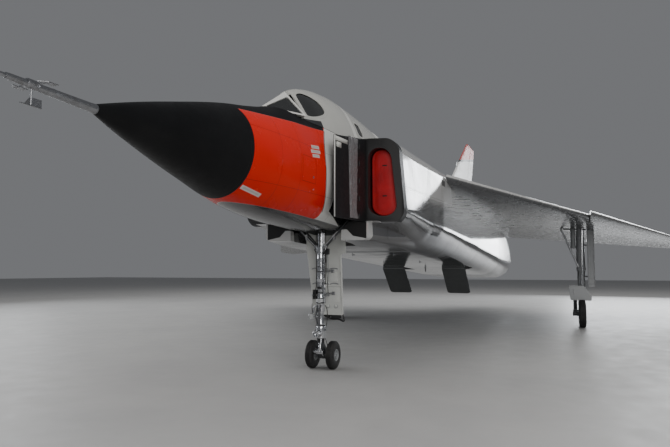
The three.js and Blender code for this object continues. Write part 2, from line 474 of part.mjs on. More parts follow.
// ---------- nose gear ----------
const NG = { leg: 58, piston: 50, axleZ: 215, wheelY: 170, tyreR: 215, tyreW: 128, top: 2699 };
const LX = NOSE_LEG_X;
const noseLeg = join(
  bar([LX, 0, 1010], [LX, 0, NG.top], NG.leg),
  ...[[1010, 1080, 70], [1330, 1380, 66], [1640, 1690, 66], [1780, 1880, 76]].map(([z0, z1, r]) => bar([LX, 0, z0], [LX, 0, z1], r)),
  bar([LX, -235, 2350], [LX, 235, 2350], 55),
  ...[1, -1].map((s) => bar([LX, s * 30, 1830], [LX + 60, s * 470, 2270], 24, 24, 10)),
);
const noseLegAll = cut(noseLeg, cut(ovalLoft(FORWARD, FIT), box(5330 + 1, 6250 - 1, -249, 249, 1900, 2699.4)));
const fork = join(
  bar([LX, 0, 330], [LX, 0, 1002], NG.piston),
  bar([LX, 0, 880], [LX, 0, 1002], 66),
  bar([LX, 0, 470], [LX, 0, 690], 74),
  slabY([[LX + 52, 500], [LX + 52, 360], [NOSE_GEAR_X + 50, 150], [NOSE_GEAR_X - 60, 150], [NOSE_GEAR_X - 60, 290], [LX - 60, 400], [LX - 60, 500]], -66, 66),
  bar([LX, 0, 555], [LX + 205, 0, 555], 30, 30, 10),
  // scissor links in front of the leg
  slabY([[LX + 30, 985], [LX + 62, 985], [LX + 165, 830], [LX + 165, 790], [LX + 62, 650], [LX + 30, 640], [LX + 30, 680], [LX + 118, 800], [LX + 118, 820], [LX + 30, 930]], -30, 30),
);
const WHEEL_SEG = 20;
const tyrePts = (r, w, rim) => {
  const h = w / 2;
  return [[rim, -h * 0.8], [rim * 1.3, -h], [r * 0.94, -h * 0.82], [r, -h * 0.35], [r, h * 0.35], [r * 0.94, h * 0.82], [rim * 1.3, h], [rim, h * 0.8], [rim, -h * 0.8]];
};
const hubPts = (rim, w) => {
  const h = w / 2;
  return [[0, -h * 0.8], [rim * 0.4, -h * 0.8], [rim * 0.5, -h * 0.45], [rim, -h * 0.7], [rim, h * 0.7], [rim * 0.5, h * 0.45], [rim * 0.4, h * 0.8], [0, h * 0.8]];
};
const wheelSolid = (r, w, rim, p) => join(turned(tyrePts(r, w, rim - FIT), WHEEL_SEG, p), turned(hubPts(rim + FIT, w), WHEEL_SEG, p));
const noseWheels = join(
  wheelSolid(NG.tyreR, NG.tyreW, 108, [NOSE_GEAR_X, NG.wheelY, NG.axleZ]),
  wheelSolid(NG.tyreR, NG.tyreW, 108, [NOSE_GEAR_X, -NG.wheelY, NG.axleZ]),
  bar([NOSE_GEAR_X, -NG.wheelY, NG.axleZ], [NOSE_GEAR_X, NG.wheelY, NG.axleZ], 34),
);
const forkBored = cut(fork, bar([NOSE_GEAR_X, -300, NG.axleZ], [NOSE_GEAR_X, 300, NG.axleZ], 42));
// leg door: stands across the flow behind the leg, its foot a little further aft
const doorX = (z) => 5520 - (2080 - z) * 0.116;
const DOOR_EDGE = [[330, 2120], [330, 1800], [282, 1765], [276, 830], [240, 790]];   // half width, height
const doorRing = (dx) => [...DOOR_EDGE.map(([y, z]) => [doorX(z) + dx, y, z]), ...DOOR_EDGE.slice().reverse().map(([y, z]) => [doorX(z) + dx, -y, z])];
const noseDoor = loft([doorRing(0), doorRing(-36)], 0);
const doorLinks = [[1, 1500], [-1, 1500], [1, 1150], [-1, 1150]].map(([s, z]) => bar([doorX(z) - 20, s * 110, z], [LX - 20, s * 20, z], 20, 20, 8));
const legClearNose = join(bar([LX, 0, 1000], [LX, 0, NG.top + 5], NG.leg + FIT), bar([LX, 0, 1005], [LX, 0, 1085], 70.4));
const noseDoorAll = cut(join(noseDoor, ...doorLinks), legClearNose, ovalLoft(FORWARD, 2), keel);
const landingLight = join(bar([LX + 40, -108, 803], [LX + 118, -108, 803], 38, 50, 16), bar([LX, -30, 803], [LX + 60, -108, 803], 16, 16, 8));
const landingLightAll = cut(landingLight, bar([LX, 0, 700], [LX, 0, 870], NG.piston + FIT), box(LX + 29, LX + 170, -30.4, 30.4, 600, 1000));

// ---------- main gear ----------
const MG = { legY: 3810, beamY: 3636, tyreR: 368, tyreW: 196, axleX: 400, rim: 185 };
const legTop = 2764;
const mainLeg = join(
  bar([MAIN_GEAR_X, MG.legY, 930], [MAIN_GEAR_X, MG.legY, legTop], 98),
  bar([MAIN_GEAR_X, MG.legY, 800], [MAIN_GEAR_X, MG.legY, 1000], 72),
  bar([MAIN_GEAR_X, MG.legY, 1000], [MAIN_GEAR_X, MG.legY, 1060], 116),
  bar([MAIN_GEAR_X, MG.legY, 1500], [MAIN_GEAR_X, MG.legY, 1600], 116),
  // yoke from the leg to the beam that stands inboard of the wheels
  bar([MAIN_GEAR_X, MG.legY + 40, 858], [MAIN_GEAR_X, MG.beamY, 858], 50),
  bar([MAIN_GEAR_X, MG.beamY, 368], [MAIN_GEAR_X, MG.beamY, 900], 52),
  bar([MAIN_GEAR_X - MG.axleX, MG.beamY, 368], [MAIN_GEAR_X + MG.axleX, MG.beamY, 368], 56),
  ...[1, -1].flatMap((s) => [bar([MAIN_GEAR_X + s * MG.axleX, MG.beamY - 66, 368], [MAIN_GEAR_X + s * MG.axleX, MAIN_GEAR_Y - 84, 368], 64)]),
  ...[1, -1].map((s) => bar([MAIN_GEAR_X + s * MG.axleX, MG.beamY, 368], [MAIN_GEAR_X + s * MG.axleX, MAIN_GEAR_Y + 30, 368], 34)),
  // folding jack inboard of the leg
  bar([MAIN_GEAR_X, 3622, 2110], [MAIN_GEAR_X, 3622, legTop], 62),
  bar([MAIN_GEAR_X, 3600, 2160], [MAIN_GEAR_X, MG.legY, 2160], 34),
);
const legShape = (g) => join(bar([MAIN_GEAR_X, MG.legY, 700], [MAIN_GEAR_X, MG.legY, legTop + 40], 98 + g), bar([MAIN_GEAR_X, MG.legY, 1000 - g], [MAIN_GEAR_X, MG.legY, 1060 + g], 116 + g), bar([MAIN_GEAR_X, MG.legY, 1500 - g], [MAIN_GEAR_X, MG.legY, 1600 + g], 116 + g), bar([MAIN_GEAR_X, 3622, 2110 - g], [MAIN_GEAR_X, 3622, legTop + 40], 62 + g), bar([MAIN_GEAR_X, 3600 - g, 2160], [MAIN_GEAR_X, MG.legY, 2160], 34 + g));
const mainBrace = cut(join(...[60, -60].map((d) => bar([MAIN_GEAR_X + d, MG.legY - 20, 1500], [MAIN_GEAR_X + d, 3230, 2880], 28, 28, 10)), bar([MAIN_GEAR_X - 60, 3520, 2190], [MAIN_GEAR_X + 60, 3520, 2190], 24, 24, 8)), legShape(0.4));
const mainWheel = (s) => cut(wheelSolid(MG.tyreR, MG.tyreW, MG.rim, [MAIN_GEAR_X + s * MG.axleX, MAIN_GEAR_Y, 368]), bar([MAIN_GEAR_X + s * MG.axleX, 3000, 368], [MAIN_GEAR_X + s * MG.axleX, MAIN_GEAR_Y + 40, 368], 42));
// outboard leg door, set oblique to the flow; below it a cross plate in front of the beam
const plate = (p, q, thick, z0, z1) => {         // upright plate between two plan points
  const n = V(q[1] - p[1], p[0] - q[0], 0).normalize().multiplyScalar(thick);
  return slabZ([p, q, [q[0] + n.x, q[1] + n.y], [p[0] + n.x, p[1] + n.y]], z0, z1);
};
const mainDoor = join(
  plate([MAIN_GEAR_X + 130, 3968], [MAIN_GEAR_X - 170, 4140], 26, 1060, 2700),
  ...[2200, 1350].map((z) => bar([MAIN_GEAR_X, MG.legY + 60, z], [MAIN_GEAR_X + 20, 4050, z], 26, 26, 8)),
);
const lowerDoor = join(
  loft([MAIN_GEAR_X + 190, MAIN_GEAR_X + 166].map((x) => [[x, 3484, 1110], [x, 3872, 1096], [x, 4056, 828], [x, 4052, 702], [x, 3520, 712]]), 0),
  bar([MAIN_GEAR_X, MG.legY, 1030], [MAIN_GEAR_X + 180, MG.legY - 10, 1030], 24, 24, 8),
);
const legClear = legShape(0.4);

// ---------- probe ----------
const probe = join(
  bar([NOSE_TIP_X - 20, 0, 2840], [PROBE_TIP_X - 480, 0, 2868], 42, 24, 14).intersect(box(NOSE_TIP_X + FIT, 12000, -100, 100, 2700, 3000)),
  bar([PROBE_TIP_X - 481, 0, 2868], [PROBE_TIP_X, 0, 2880], 16, 8, 10),
  bar([NOSE_TIP_X + 640, -180, 2862], [NOSE_TIP_X + 640, 180, 2862], 9, 9, 8),
  bar([NOSE_TIP_X + 640, 0, 2700], [NOSE_TIP_X + 640, 0, 2862], 9, 9, 8),
  bar([NOSE_TIP_X + 540, 0, 2705], [NOSE_TIP_X + 740, 0, 2705], 8, 8, 8),
);

// ---------- assembly ----------
const model = new THREE.Group();
function add(name, man, [color, roughness, metalness]) {
  const g = man instanceof THREE.BufferGeometry ? man : shape(man);
  const mesh = new THREE.Mesh(g, new THREE.MeshStandardMaterial({ color, roughness, metalness }));
  mesh.name = name;
  model.add(mesh);
  return mesh;
}
function pair(name, man, col) {                  // port piece and its mirror image
  const g = man instanceof THREE.BufferGeometry ? man : shape(man);
  add(`${name}_left`, g, col);
  add(`${name}_right`, mirrorY(g), col);
}
add('radome', radome, COL.radome);
add('nose_probe', probe, COL.steel);
add('forward_fuselage', forwardFuselage, COL.white);
add('windscreen_frame', screenFrame, COL.white);
pair('windscreen_pane', paneScreen, COL.glass);
pair('canopy_front', canopy.front, COL.white);
pair('canopy_rear', canopy.rear, COL.white);
pair('canopy_window_front', pane.front, COL.glass);
pair('canopy_window_rear', pane.rear, COL.glass);
add('seat_front', seatFront, COL.cloth);
add('seat_rear', seatRear, COL.cloth);
add('instrument_panel_front', panelFront, COL.black);
add('instrument_panel_rear', panelRear, COL.black);
add('centre_fuselage', centreFuselage, COL.white);
pair('intake_ramp', join(ramp, rampFoot).subtract(ovalLoft(FORWARD, 3)), COL.black);
pair('intake_cover', intakeCover, COL.red);
add('weapons_pack', weaponsPack, COL.white);
add('aft_fuselage', aftFuselage.intersect(box(-12000, CENTRE_AFT_X - FIT, -2000, 2000, 0, 5000)), COL.white);
pair('engine', engine, COL.steel);
pair('nozzle', nozzle, COL.dark);
add('tail_cone', tailCone, COL.white);
add('dorsal_spine', spine, COL.white);
add('fin', fin, COL.white);
add('rudder', rudder, COL.white);
pair('wing', wing, COL.white);
pair('elevator', surface.elevator.solid, COL.white);
pair('aileron', surface.aileron.solid, COL.white);
// air brake plate, open
const brakePlate = (() => {
  const g = new THREE.BoxGeometry(BRAKE.length, BRAKE.half * 2, BRAKE.thick);
  g.translate(-BRAKE.length / 2, 0, -BRAKE.thick / 2);
  g.rotateY(-((BRAKE.open + Math.atan(SLOPE) * 57.2958) * Math.PI) / 180);
  g.translate(BRAKE.x, BRAKE.y, BRAKE.z);
  return solid(g);
})();
pair('airbrake', brakePlate, COL.dark);
add('nose_gear_leg', noseLegAll, COL.chrome);
add('nose_gear_fork', forkBored, COL.chrome);
add('nose_wheels', noseWheels, COL.rubber);
add('nose_gear_door', noseDoorAll, COL.white);
add('landing_light', landingLightAll, COL.chrome);
const wingClear = join(wing, wing.translate([0, 0, -FIT]));
pair('main_gear_leg', mainLeg, COL.chrome);
pair('main_gear_brace', cut(mainBrace, wingClear), COL.steel);
pair('main_gear_door', cut(mainDoor, legClear, wingClear), COL.grey);
pair('main_gear_lower_door', cut(lowerDoor, legClear), COL.grey);
pair('main_wheel_front', mainWheel(1), COL.rubber);
pair('main_wheel_rear', mainWheel(-1), COL.rubber);

export default model;
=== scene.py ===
"""Delta-wing twin-engine jet interceptor, parked on its gear: the finished surfaces round the fixed frame.
Metres, +X to the nose, +Y to port, +Z up. Tables are in millimetres and are scaled when a mesh is made."""
import json
import math

import bpy
import numpy as np
from mathutils import Matrix, Vector

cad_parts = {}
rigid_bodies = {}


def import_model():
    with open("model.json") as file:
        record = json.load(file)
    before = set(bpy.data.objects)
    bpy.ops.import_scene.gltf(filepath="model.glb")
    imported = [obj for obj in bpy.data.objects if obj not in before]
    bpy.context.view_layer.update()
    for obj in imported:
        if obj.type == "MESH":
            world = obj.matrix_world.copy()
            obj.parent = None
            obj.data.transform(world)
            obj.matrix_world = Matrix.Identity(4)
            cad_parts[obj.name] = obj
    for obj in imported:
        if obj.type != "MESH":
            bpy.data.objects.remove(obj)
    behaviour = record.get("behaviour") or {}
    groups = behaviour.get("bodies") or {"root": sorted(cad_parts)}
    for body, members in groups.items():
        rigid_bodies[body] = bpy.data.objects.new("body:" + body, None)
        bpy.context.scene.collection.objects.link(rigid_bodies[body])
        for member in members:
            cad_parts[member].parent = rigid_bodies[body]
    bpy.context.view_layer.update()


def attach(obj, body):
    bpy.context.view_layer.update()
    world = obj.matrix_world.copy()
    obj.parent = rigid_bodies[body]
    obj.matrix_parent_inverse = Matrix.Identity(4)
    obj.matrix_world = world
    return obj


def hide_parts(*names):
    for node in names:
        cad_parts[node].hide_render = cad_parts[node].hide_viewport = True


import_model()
scene = bpy.context.scene
MM = 0.001

# =====================================================================
# camera and light
# =====================================================================
cam_data = bpy.data.cameras.new("camera")
cam = bpy.data.objects.new("camera", cam_data)
scene.collection.objects.link(cam)
cam_data.sensor_width = 36.0
cam_data.lens = 609.0 / 670.0 * 36.0
cam_data.clip_start, cam_data.clip_end = 0.1, 400.0
yaw, pitch, roll = (math.radians(a) for a in (-158.5, 4.4, 0.05))
look = Vector((math.cos(yaw) * math.cos(pitch), math.sin(yaw) * math.cos(pitch), math.sin(pitch)))
right = look.cross(Vector((0, 0, 1))).normalized()
up = right.cross(look)
right, up = right * math.cos(roll) + up * math.sin(roll), up * math.cos(roll) - right * math.sin(roll)
cam.matrix_world = Matrix((
    (right.x, up.x, -look.x, 14.405),
    (right.y, up.y, -look.y, 3.67),
    (right.z, up.z, -look.z, 1.51),
    (0, 0, 0, 1)))
scene.camera = cam

world = bpy.data.worlds.new("studio")
scene.world = world
world.use_nodes = True
wn = world.node_tree
bg = wn.nodes["Background"]
bg.inputs["Color"].default_value = (0.86, 0.88, 0.92, 1)
bg.inputs["Strength"].default_value = 0.20


def area(name, at, target, size, watts, colour=(1, 1, 1), hidden=True):
    d = bpy.data.lights.new(name, "AREA")
    d.shape, d.size, d.size_y, d.energy, d.color = "RECTANGLE", size[0], size[1], watts, colour
    o = bpy.data.objects.new(name, d)
    scene.collection.objects.link(o)
    o.location = at
    o.rotation_mode = "QUATERNION"
    o.rotation_quaternion = (Vector(target) - Vector(at)).to_track_quat("-Z", "Y")
    o.visible_camera = not hidden
    return o


area("ceiling", (2, 2, 16), (2, 2, 0), (60, 46), 9000, (1.0, 0.98, 0.95)).visible_glossy = False
area("windows_aft", (-24, 7.2, 6.2), (2, 2, 2.6), (8.5, 8.5), 1900, (0.94, 0.97, 1.0))
area("windows_side", (3, -19, 7), (2, 0, 2), (22, 8), 1500, (0.94, 0.97, 1.0))
area("front_fill", (20, 14, 8), (4, 0, 2.2), (14, 8), 900, (1.0, 0.98, 0.95))
area("camera_fill", (17.5, 7.0, 3.4), (5, 0, 1.8), (4, 3), 230, (1.0, 0.99, 0.97))

# =====================================================================
# solids
# =====================================================================


def mesh_obj(verts, faces, name="tmp"):
    me = bpy.data.meshes.new(name)
    me.from_pydata((np.asarray(verts, float) * MM).tolist(), [], [tuple(int(i) for i in f) for f in faces])
    me.update()
    o = bpy.data.objects.new(name, me)
    scene.collection.objects.link(o)
    return o


def volume(verts, faces):
    v, s = np.asarray(verts, float), 0.0
    for f in faces:
        a = v[f[0]]
        for i in range(1, len(f) - 1):
            s += np.dot(a, np.cross(v[f[i]], v[f[i + 1]]))
    return s


def outward(verts, faces):
    return faces if volume(verts, faces) > 0 else [tuple(reversed(f)) for f in faces]


def loft_data(rings):
    R = np.asarray(rings, float)
    m, n, _ = R.shape
    faces = []
    for s in range(m - 1):
        for k in range(n):
            a, b = s * n + k, s * n + (k + 1) % n
            faces.append((a, b, b + n, a + n))
    faces.append(tuple(range(n - 1, -1, -1)))
    faces.append(tuple(range((m - 1) * n, m * n)))
    V = R.reshape(-1, 3)
    return V, outward(V, faces)


def loft(rings):
    return mesh_obj(*loft_data(rings))


def merge_data(*parts):
    V, F, k = [], [], 0
    for v, f in parts:
        V.append(np.asarray(v, float))
        F += [tuple(i + k for i in face) for face in f]
        k += len(v)
    return np.concatenate(V), F


def box_data(x0, x1, y0, y1, z0, z1):
    return loft_data([[(x, y0, z0), (x, y1, z0), (x, y1, z1), (x, y0, z1)] for x in (x0, x1)])


def box(*a):
    return mesh_obj(*box_data(*a))


def slab_data(points, axis, a0, a1):
    """flat outline pushed between two planes; axis 1: points are x, z; axis 2: points are x, y; axis 0: points are y, z"""
    make = {0: lambda p, a: (a, p[0], p[1]), 1: lambda p, a: (p[0], a, p[1]), 2: lambda p, a: (p[0], p[1], a)}[axis]
    return loft_data([[make(p, a) for p in points] for a in (a0, a1)])


def slab_y(points, y0, y1):
    return mesh_obj(*slab_data(points, 1, y0, y1))


def slab_z(points, z0, z1):
    return mesh_obj(*slab_data(points, 2, z0, z1))


def frame_of(d):
    d = np.asarray(d, float) / np.linalg.norm(d)
    a = np.array([0, 0, 1.0]) if abs(d[2]) < 0.9 else np.array([1.0, 0, 0])
    u = np.cross(a, d)
    u /= np.linalg.norm(u)
    return d, u, np.cross(d, u)


def turned_data(p, d, profile, seg=32, closed=False):
    """solid of revolution from p along d; profile rows are distance along, radius. closed: the outline returns on itself"""
    d, u, v = frame_of(d)
    p = np.asarray(p, float)
    t = np.linspace(0, 2 * math.pi, seg, endpoint=False)
    circ = np.cos(t)[:, None] * u + np.sin(t)[:, None] * v
    rings = [p + d * s + circ * r for s, r in profile]
    if not closed:
        return loft_data(rings)
    V = np.concatenate(rings)
    m, faces = len(rings), []
    for s in range(m):
        for k in range(seg):
            a, b = s * seg + k, s * seg + (k + 1) % seg
            c, e = ((s + 1) % m) * seg + k, ((s + 1) % m) * seg + (k + 1) % seg
            faces.append((a, b, e, c))
    return V, outward(V, faces)


def bar_data(p, q, r0, r1=None, seg=20, soft=0.12):
    """round bar with softened ends"""
    p, q = np.asarray(p, float), np.asarray(q, float)
    r1 = r0 if r1 is None else r1
    L = np.linalg.norm(q - p)
    e0, e1 = min(soft * r0, L / 4), min(soft * r1, L / 4)
    return turned_data(p, q - p, [(0, r0 - e0), (e0, r0), (L - e1, r1), (L, r1 - e1)], seg)


def pipe_data(points, r, seg=10, steps=6):
    """tube along a smooth curve through points"""
    P = np.asarray(points, float)
    if len(P) > 2 and steps > 1:
        out = []
        for i in range(len(P) - 1):
            p0, p1, p2, p3 = P[max(i - 1, 0)], P[i], P[i + 1], P[min(i + 2, len(P) - 1)]
            for k in range(steps):
                t = k / steps
                out.append(0.5 * ((2 * p1) + (-p0 + p2) * t + (2 * p0 - 5 * p1 + 4 * p2 - p3) * t * t + (-p0 + 3 * p1 - 3 * p2 + p3) * t ** 3))
        out.append(P[-1])
        P = np.array(out)
    T = np.gradient(P, axis=0)
    T /= np.linalg.norm(T, axis=1)[:, None]
    _, u, _ = frame_of(T[0])
    rings = []
    t = np.linspace(0, 2 * math.pi, seg, endpoint=False)
    for i in range(len(P)):
        u = u - T[i] * np.dot(u, T[i])
        u /= np.linalg.norm(u)
        v = np.cross(T[i], u)
        rings.append(P[i] + r * (np.cos(t)[:, None] * u + np.sin(t)[:, None] * v))
    return loft_data(rings)


def bolt_data(p, d, r=7, h=5, seg=6):
    return turned_data(p, d, [(-h * 0.6, r), (h * 0.6, r), (h, r * 0.7)], seg)


def boolean(a, b, op, keep=False):
    before = len(a.data.polygons)
    out = None
    for solver in ("MANIFOLD", "EXACT"):
        m = a.modifiers.new("b", "BOOLEAN")
        m.operation, m.object, m.solver = op, b, solver
        dg = bpy.context.evaluated_depsgraph_get()
        out = bpy.data.meshes.new_from_object(a.evaluated_get(dg))
        a.modifiers.clear()
        if len(out.polygons) and not (solver == "MANIFOLD" and op == "INTERSECT" and len(out.polygons) == before):
            break
    old = a.data
    a.data = out
    bpy.data.meshes.remove(old)
    if not keep:
        drop(b)
    return a


def drop(*objs):
    for o in objs:
        me = o.data
        bpy.data.objects.remove(o)
        if me and me.users == 0:
            bpy.data.meshes.remove(me)


def cut(a, *tools, keep=False):
    for t in tools:
        boolean(a, t, "DIFFERENCE", keep)
    return a


def meet(a, *tools, keep=False):
    for t in tools:
        boolean(a, t, "INTERSECT", keep)
    return a


def join(a, *tools, keep=False):
    for t in tools:
        boolean(a, t, "UNION", keep)
    return a


def clone(a):
    o = a.copy()
    o.data = a.data.copy()
    scene.collection.objects.link(o)
    return o


def mirrored(a):
    o = clone(a)
    o.data.transform(Matrix.Scale(-1, 4, (0, 1, 0)))
    o.data.flip_normals()
    return o


def shade(o, angle=32):
    me = o.data
    n, ne = len(me.polygons), len(me.edges)
    me.polygons.foreach_set("use_smooth", np.ones(n, bool))
    nrm = np.zeros(n * 3, np.float32)
    me.polygons.foreach_get("normal", nrm)
    nrm = nrm.reshape(-1, 3)
    loops = np.zeros(len(me.loops), np.int32)
    me.loops.foreach_get("edge_index", loops)
    tot = np.zeros(n, np.int32)
    me.polygons.foreach_get("loop_total", tot)
    face = np.repeat(np.arange(n), tot)
    order = np.argsort(loops, kind="stable")
    le, lf = loops[order], face[order]
    sharp = np.zeros(ne, bool)
    same = le[:-1] == le[1:]
    i = np.nonzero(same)[0]
    dot = np.einsum("ij,ij->i", nrm[lf[i]], nrm[lf[i + 1]])
    sharp[le[i[dot < math.cos(math.radians(angle))]]] = True
    attr = me.attributes.get("sharp_edge") or me.attributes.new("sharp_edge", "BOOLEAN", "EDGE")
    attr.data.foreach_set("value", sharp)
    me.update()
    return o


def paint(o, index, test):
    """gives a material index to the faces that pass a test of their middle and normal"""
    me = o.data
    n = len(me.polygons)
    c, nr, idx = np.zeros(n * 3), np.zeros(n * 3), np.zeros(n, np.int32)
    me.polygons.foreach_get("center", c)
    me.polygons.foreach_get("normal", nr)
    me.polygons.foreach_get("material_index", idx)
    idx[test(c.reshape(-1, 3) / MM, nr.reshape(-1, 3))] = index
    me.polygons.foreach_set("material_index", idx)


def place(o, name, body, mats, nodes=(), angle=32):
    o.name = o.data.name = name
    while len(o.data.materials):
        o.data.materials.pop()
    for m in (mats if isinstance(mats, (list, tuple)) else [mats]):
        o.data.materials.append(m)
    shade(o, angle)
    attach(o, body)
    if nodes:
        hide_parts(*nodes)
    return o


def grouped(parts, name, body, mats, nodes=(), angle=32):
    """many small closed solids in one mesh"""
    return place(mesh_obj(*merge_data(*parts)), name, body, mats, nodes, angle)


def flip_y(data):
    v, f = data
    v = np.array(v, float)
    v[:, 1] *= -1
    return v, [tuple(reversed(face)) for face in f]


# =====================================================================
# materials
# =====================================================================


class Num:
    """a number inside a material, with arithmetic"""

    def __init__(self, g, sock):
        self.g, self.s = g, sock

    def __add__(self, o): return self.g.math("ADD", self, o)
    def __radd__(self, o): return self.g.math("ADD", o, self)
    def __sub__(self, o): return self.g.math("SUBTRACT", self, o)
    def __rsub__(self, o): return self.g.math("SUBTRACT", o, self)
    def __mul__(self, o): return self.g.math("MULTIPLY", self, o)
    def __rmul__(self, o): return self.g.math("MULTIPLY", o, self)
    def __truediv__(self, o): return self.g.math("DIVIDE", self, o)
    def abs(self): return self.g.math("ABSOLUTE", self)
    def max(self, o): return self.g.math("MAXIMUM", self, o)
    def min(self, o): return self.g.math("MINIMUM", self, o)
    def sqrt(self): return self.g.math("SQRT", self)
    def pingpong(self, o): return self.g.math("PINGPONG", self, o)
    def inv(self): return 1.0 - self


class Mat:
    def __init__(self, name):
        self.m = bpy.data.materials.new(name)
        self.m.use_nodes = True
        self.t = self.m.node_tree
        self.b = self.t.nodes["Principled BSDF"]
        tc = self.t.nodes.new("ShaderNodeTexCoord")
        self.co = tc.outputs["Object"]
        sep = self.t.nodes.new("ShaderNodeSeparateXYZ")
        self.t.links.new(self.co, sep.inputs[0])
        self.x, self.y, self.z = (Num(self, sep.outputs[i]) for i in range(3))
        self.height = []

    def put(self, sock, value):
        if isinstance(value, Num):
            self.t.links.new(value.s, sock)
        elif hasattr(value, "is_output"):
            self.t.links.new(value, sock)
        else:
            sock.default_value = value

    def math(self, op, a, b=None, c=None, clamp=False):
        n = self.t.nodes.new("ShaderNodeMath")
        n.operation, n.use_clamp = op, clamp
        for i, v in enumerate((a, b, c)):
            if v is not None:
                self.put(n.inputs[i], v)
        return Num(self, n.outputs[0])

    def clamp(self, v):
        return self.math("ADD", v, 0.0, clamp=True)

    def step(self, v, at, soft):
        """0 below at, 1 above, over a width soft"""
        return self.math("MULTIPLY_ADD", v - at, 1.0 / soft, 0.5, clamp=True)

    def noise(self, scale, detail=3.0, rough=0.55, vec=None, stretch=None, distort=0.0):
        src = self.co if vec is None else vec
        if stretch:
            m = self.t.nodes.new("ShaderNodeMapping")
            m.inputs["Scale"].default_value = stretch
            self.t.links.new(src, m.inputs[0])
            src = m.outputs[0]
        n = self.t.nodes.new("ShaderNodeTexNoise")
        self.t.links.new(src, n.inputs["Vector"])
        n.inputs["Scale"].default_value = scale
        n.inputs["Detail"].default_value = detail
        n.inputs["Roughness"].default_value = rough
        n.inputs["Distortion"].default_value = distort
        return Num(self, n.outputs[0])

    def cells(self, scale, stretch=None, feature="F1"):
        src = self.co
        if stretch:
            m = self.t.nodes.new("ShaderNodeMapping")
            m.inputs["Scale"].default_value = stretch
            self.t.links.new(src, m.inputs[0])
            src = m.outputs[0]
        n = self.t.nodes.new("ShaderNodeTexVoronoi")
        n.feature = feature
        self.t.links.new(src, n.inputs["Vector"])
        n.inputs["Scale"].default_value = scale
        return Num(self, n.outputs["Distance"])

    def ramp(self, v, lo, hi, a=0.0, b=1.0):
        n = self.t.nodes.new("ShaderNodeMapRange")
        self.put(n.inputs[0], v)
        for i, x in enumerate((lo, hi, a, b)):
            n.inputs[i + 1].default_value = x
        return Num(self, n.outputs[0])

    def mix(self, fac, a, b):
        n = self.t.nodes.new("ShaderNodeMix")
        n.data_type = "RGBA"
        self.put(n.inputs[0], fac)
        for sock, v in ((n.inputs[6], a), (n.inputs[7], b)):
            if isinstance(v, tuple):
                sock.default_value = (*v, 1.0)
            else:
                self.put(sock, v)
        return n.outputs[2]

    def darken(self, fac, a, k):
        """a times k where fac is 1"""
        n = self.t.nodes.new("ShaderNodeMix")
        n.data_type = "RGBA"
        n.blend_type = "MULTIPLY"
        self.put(n.inputs[0], fac)
        if isinstance(a, tuple):
            n.inputs[6].default_value = (*a, 1.0)
        else:
            self.put(n.inputs[6], a)
        n.inputs[7].default_value = (*k, 1.0)
        return n.outputs[2]

    def line(self, v, at, width=0.004, soft=0.0025):
        """1 on a thin line where v is at"""
        return self.math("MULTIPLY_ADD", (v - at).abs(), -1.0 / soft, width / 2 / soft + 0.5, clamp=True)

    def any(self, *masks):
        out = masks[0]
        for m in masks[1:]:
            out = out.max(m)
        return out

    def inside(self, v, lo, hi, soft=0.003):
        return self.step(v, lo, soft) * self.step(v, hi, soft).inv()

    def rivets(self, across, at, along, pitch=0.05, r=0.0045, offset=0.018):
        """two rows of rivets along a seam"""
        d = ((across - at).abs() - offset).abs()
        e = along.pingpong(pitch / 2)
        dist = (d * d + e * e).sqrt()
        return self.math("MULTIPLY_ADD", dist, -1.0 / 0.002, r / 0.002 + 0.5, clamp=True)

    def bump(self, *terms):
        """terms: (height, distance in metres)"""
        nrm = None
        for v, dist in terms:
            n = self.t.nodes.new("ShaderNodeBump")
            n.inputs["Strength"].default_value = 1.0
            n.inputs["Distance"].default_value = dist
            self.put(n.inputs["Height"], v)
            if nrm is not None:
                self.t.links.new(nrm, n.inputs["Normal"])
            nrm = n.outputs[0]
        self.t.links.new(nrm, self.b.inputs["Normal"])

    def set(self, **kw):
        for k, v in kw.items():
            sock = self.b.inputs[k.replace("_", " ")]
            if isinstance(v, tuple) and len(v) == 3 and sock.type == "RGBA":
                sock.default_value = (*v, 1.0)
            else:
                self.put(sock, v)
        return self


WHITE = (0.62, 0.62, 0.60)
RED = (0.60, 0.010, 0.0015)
BLACK = (0.006, 0.006, 0.007)


def seam_set(g, xs=(), zs=(), ys=(), width=0.004):
    """thin panel joints at the given places, with rivet rows; gives the joint mask and the rivet mask"""
    lines, dots = [], []
    for v, others, at in ([(g.x, (g.z, g.y), a) for a in xs] + [(g.z, (g.x, g.x), a) for a in zs] + [(g.y, (g.x, g.x), a) for a in ys]):
        lines.append(g.line(v, at, width))
        along = others[0] if others[0] is others[1] else (others[0] + others[1])
        dots.append(g.rivets(v, at, along))
    return g.any(*lines), g.any(*dots)


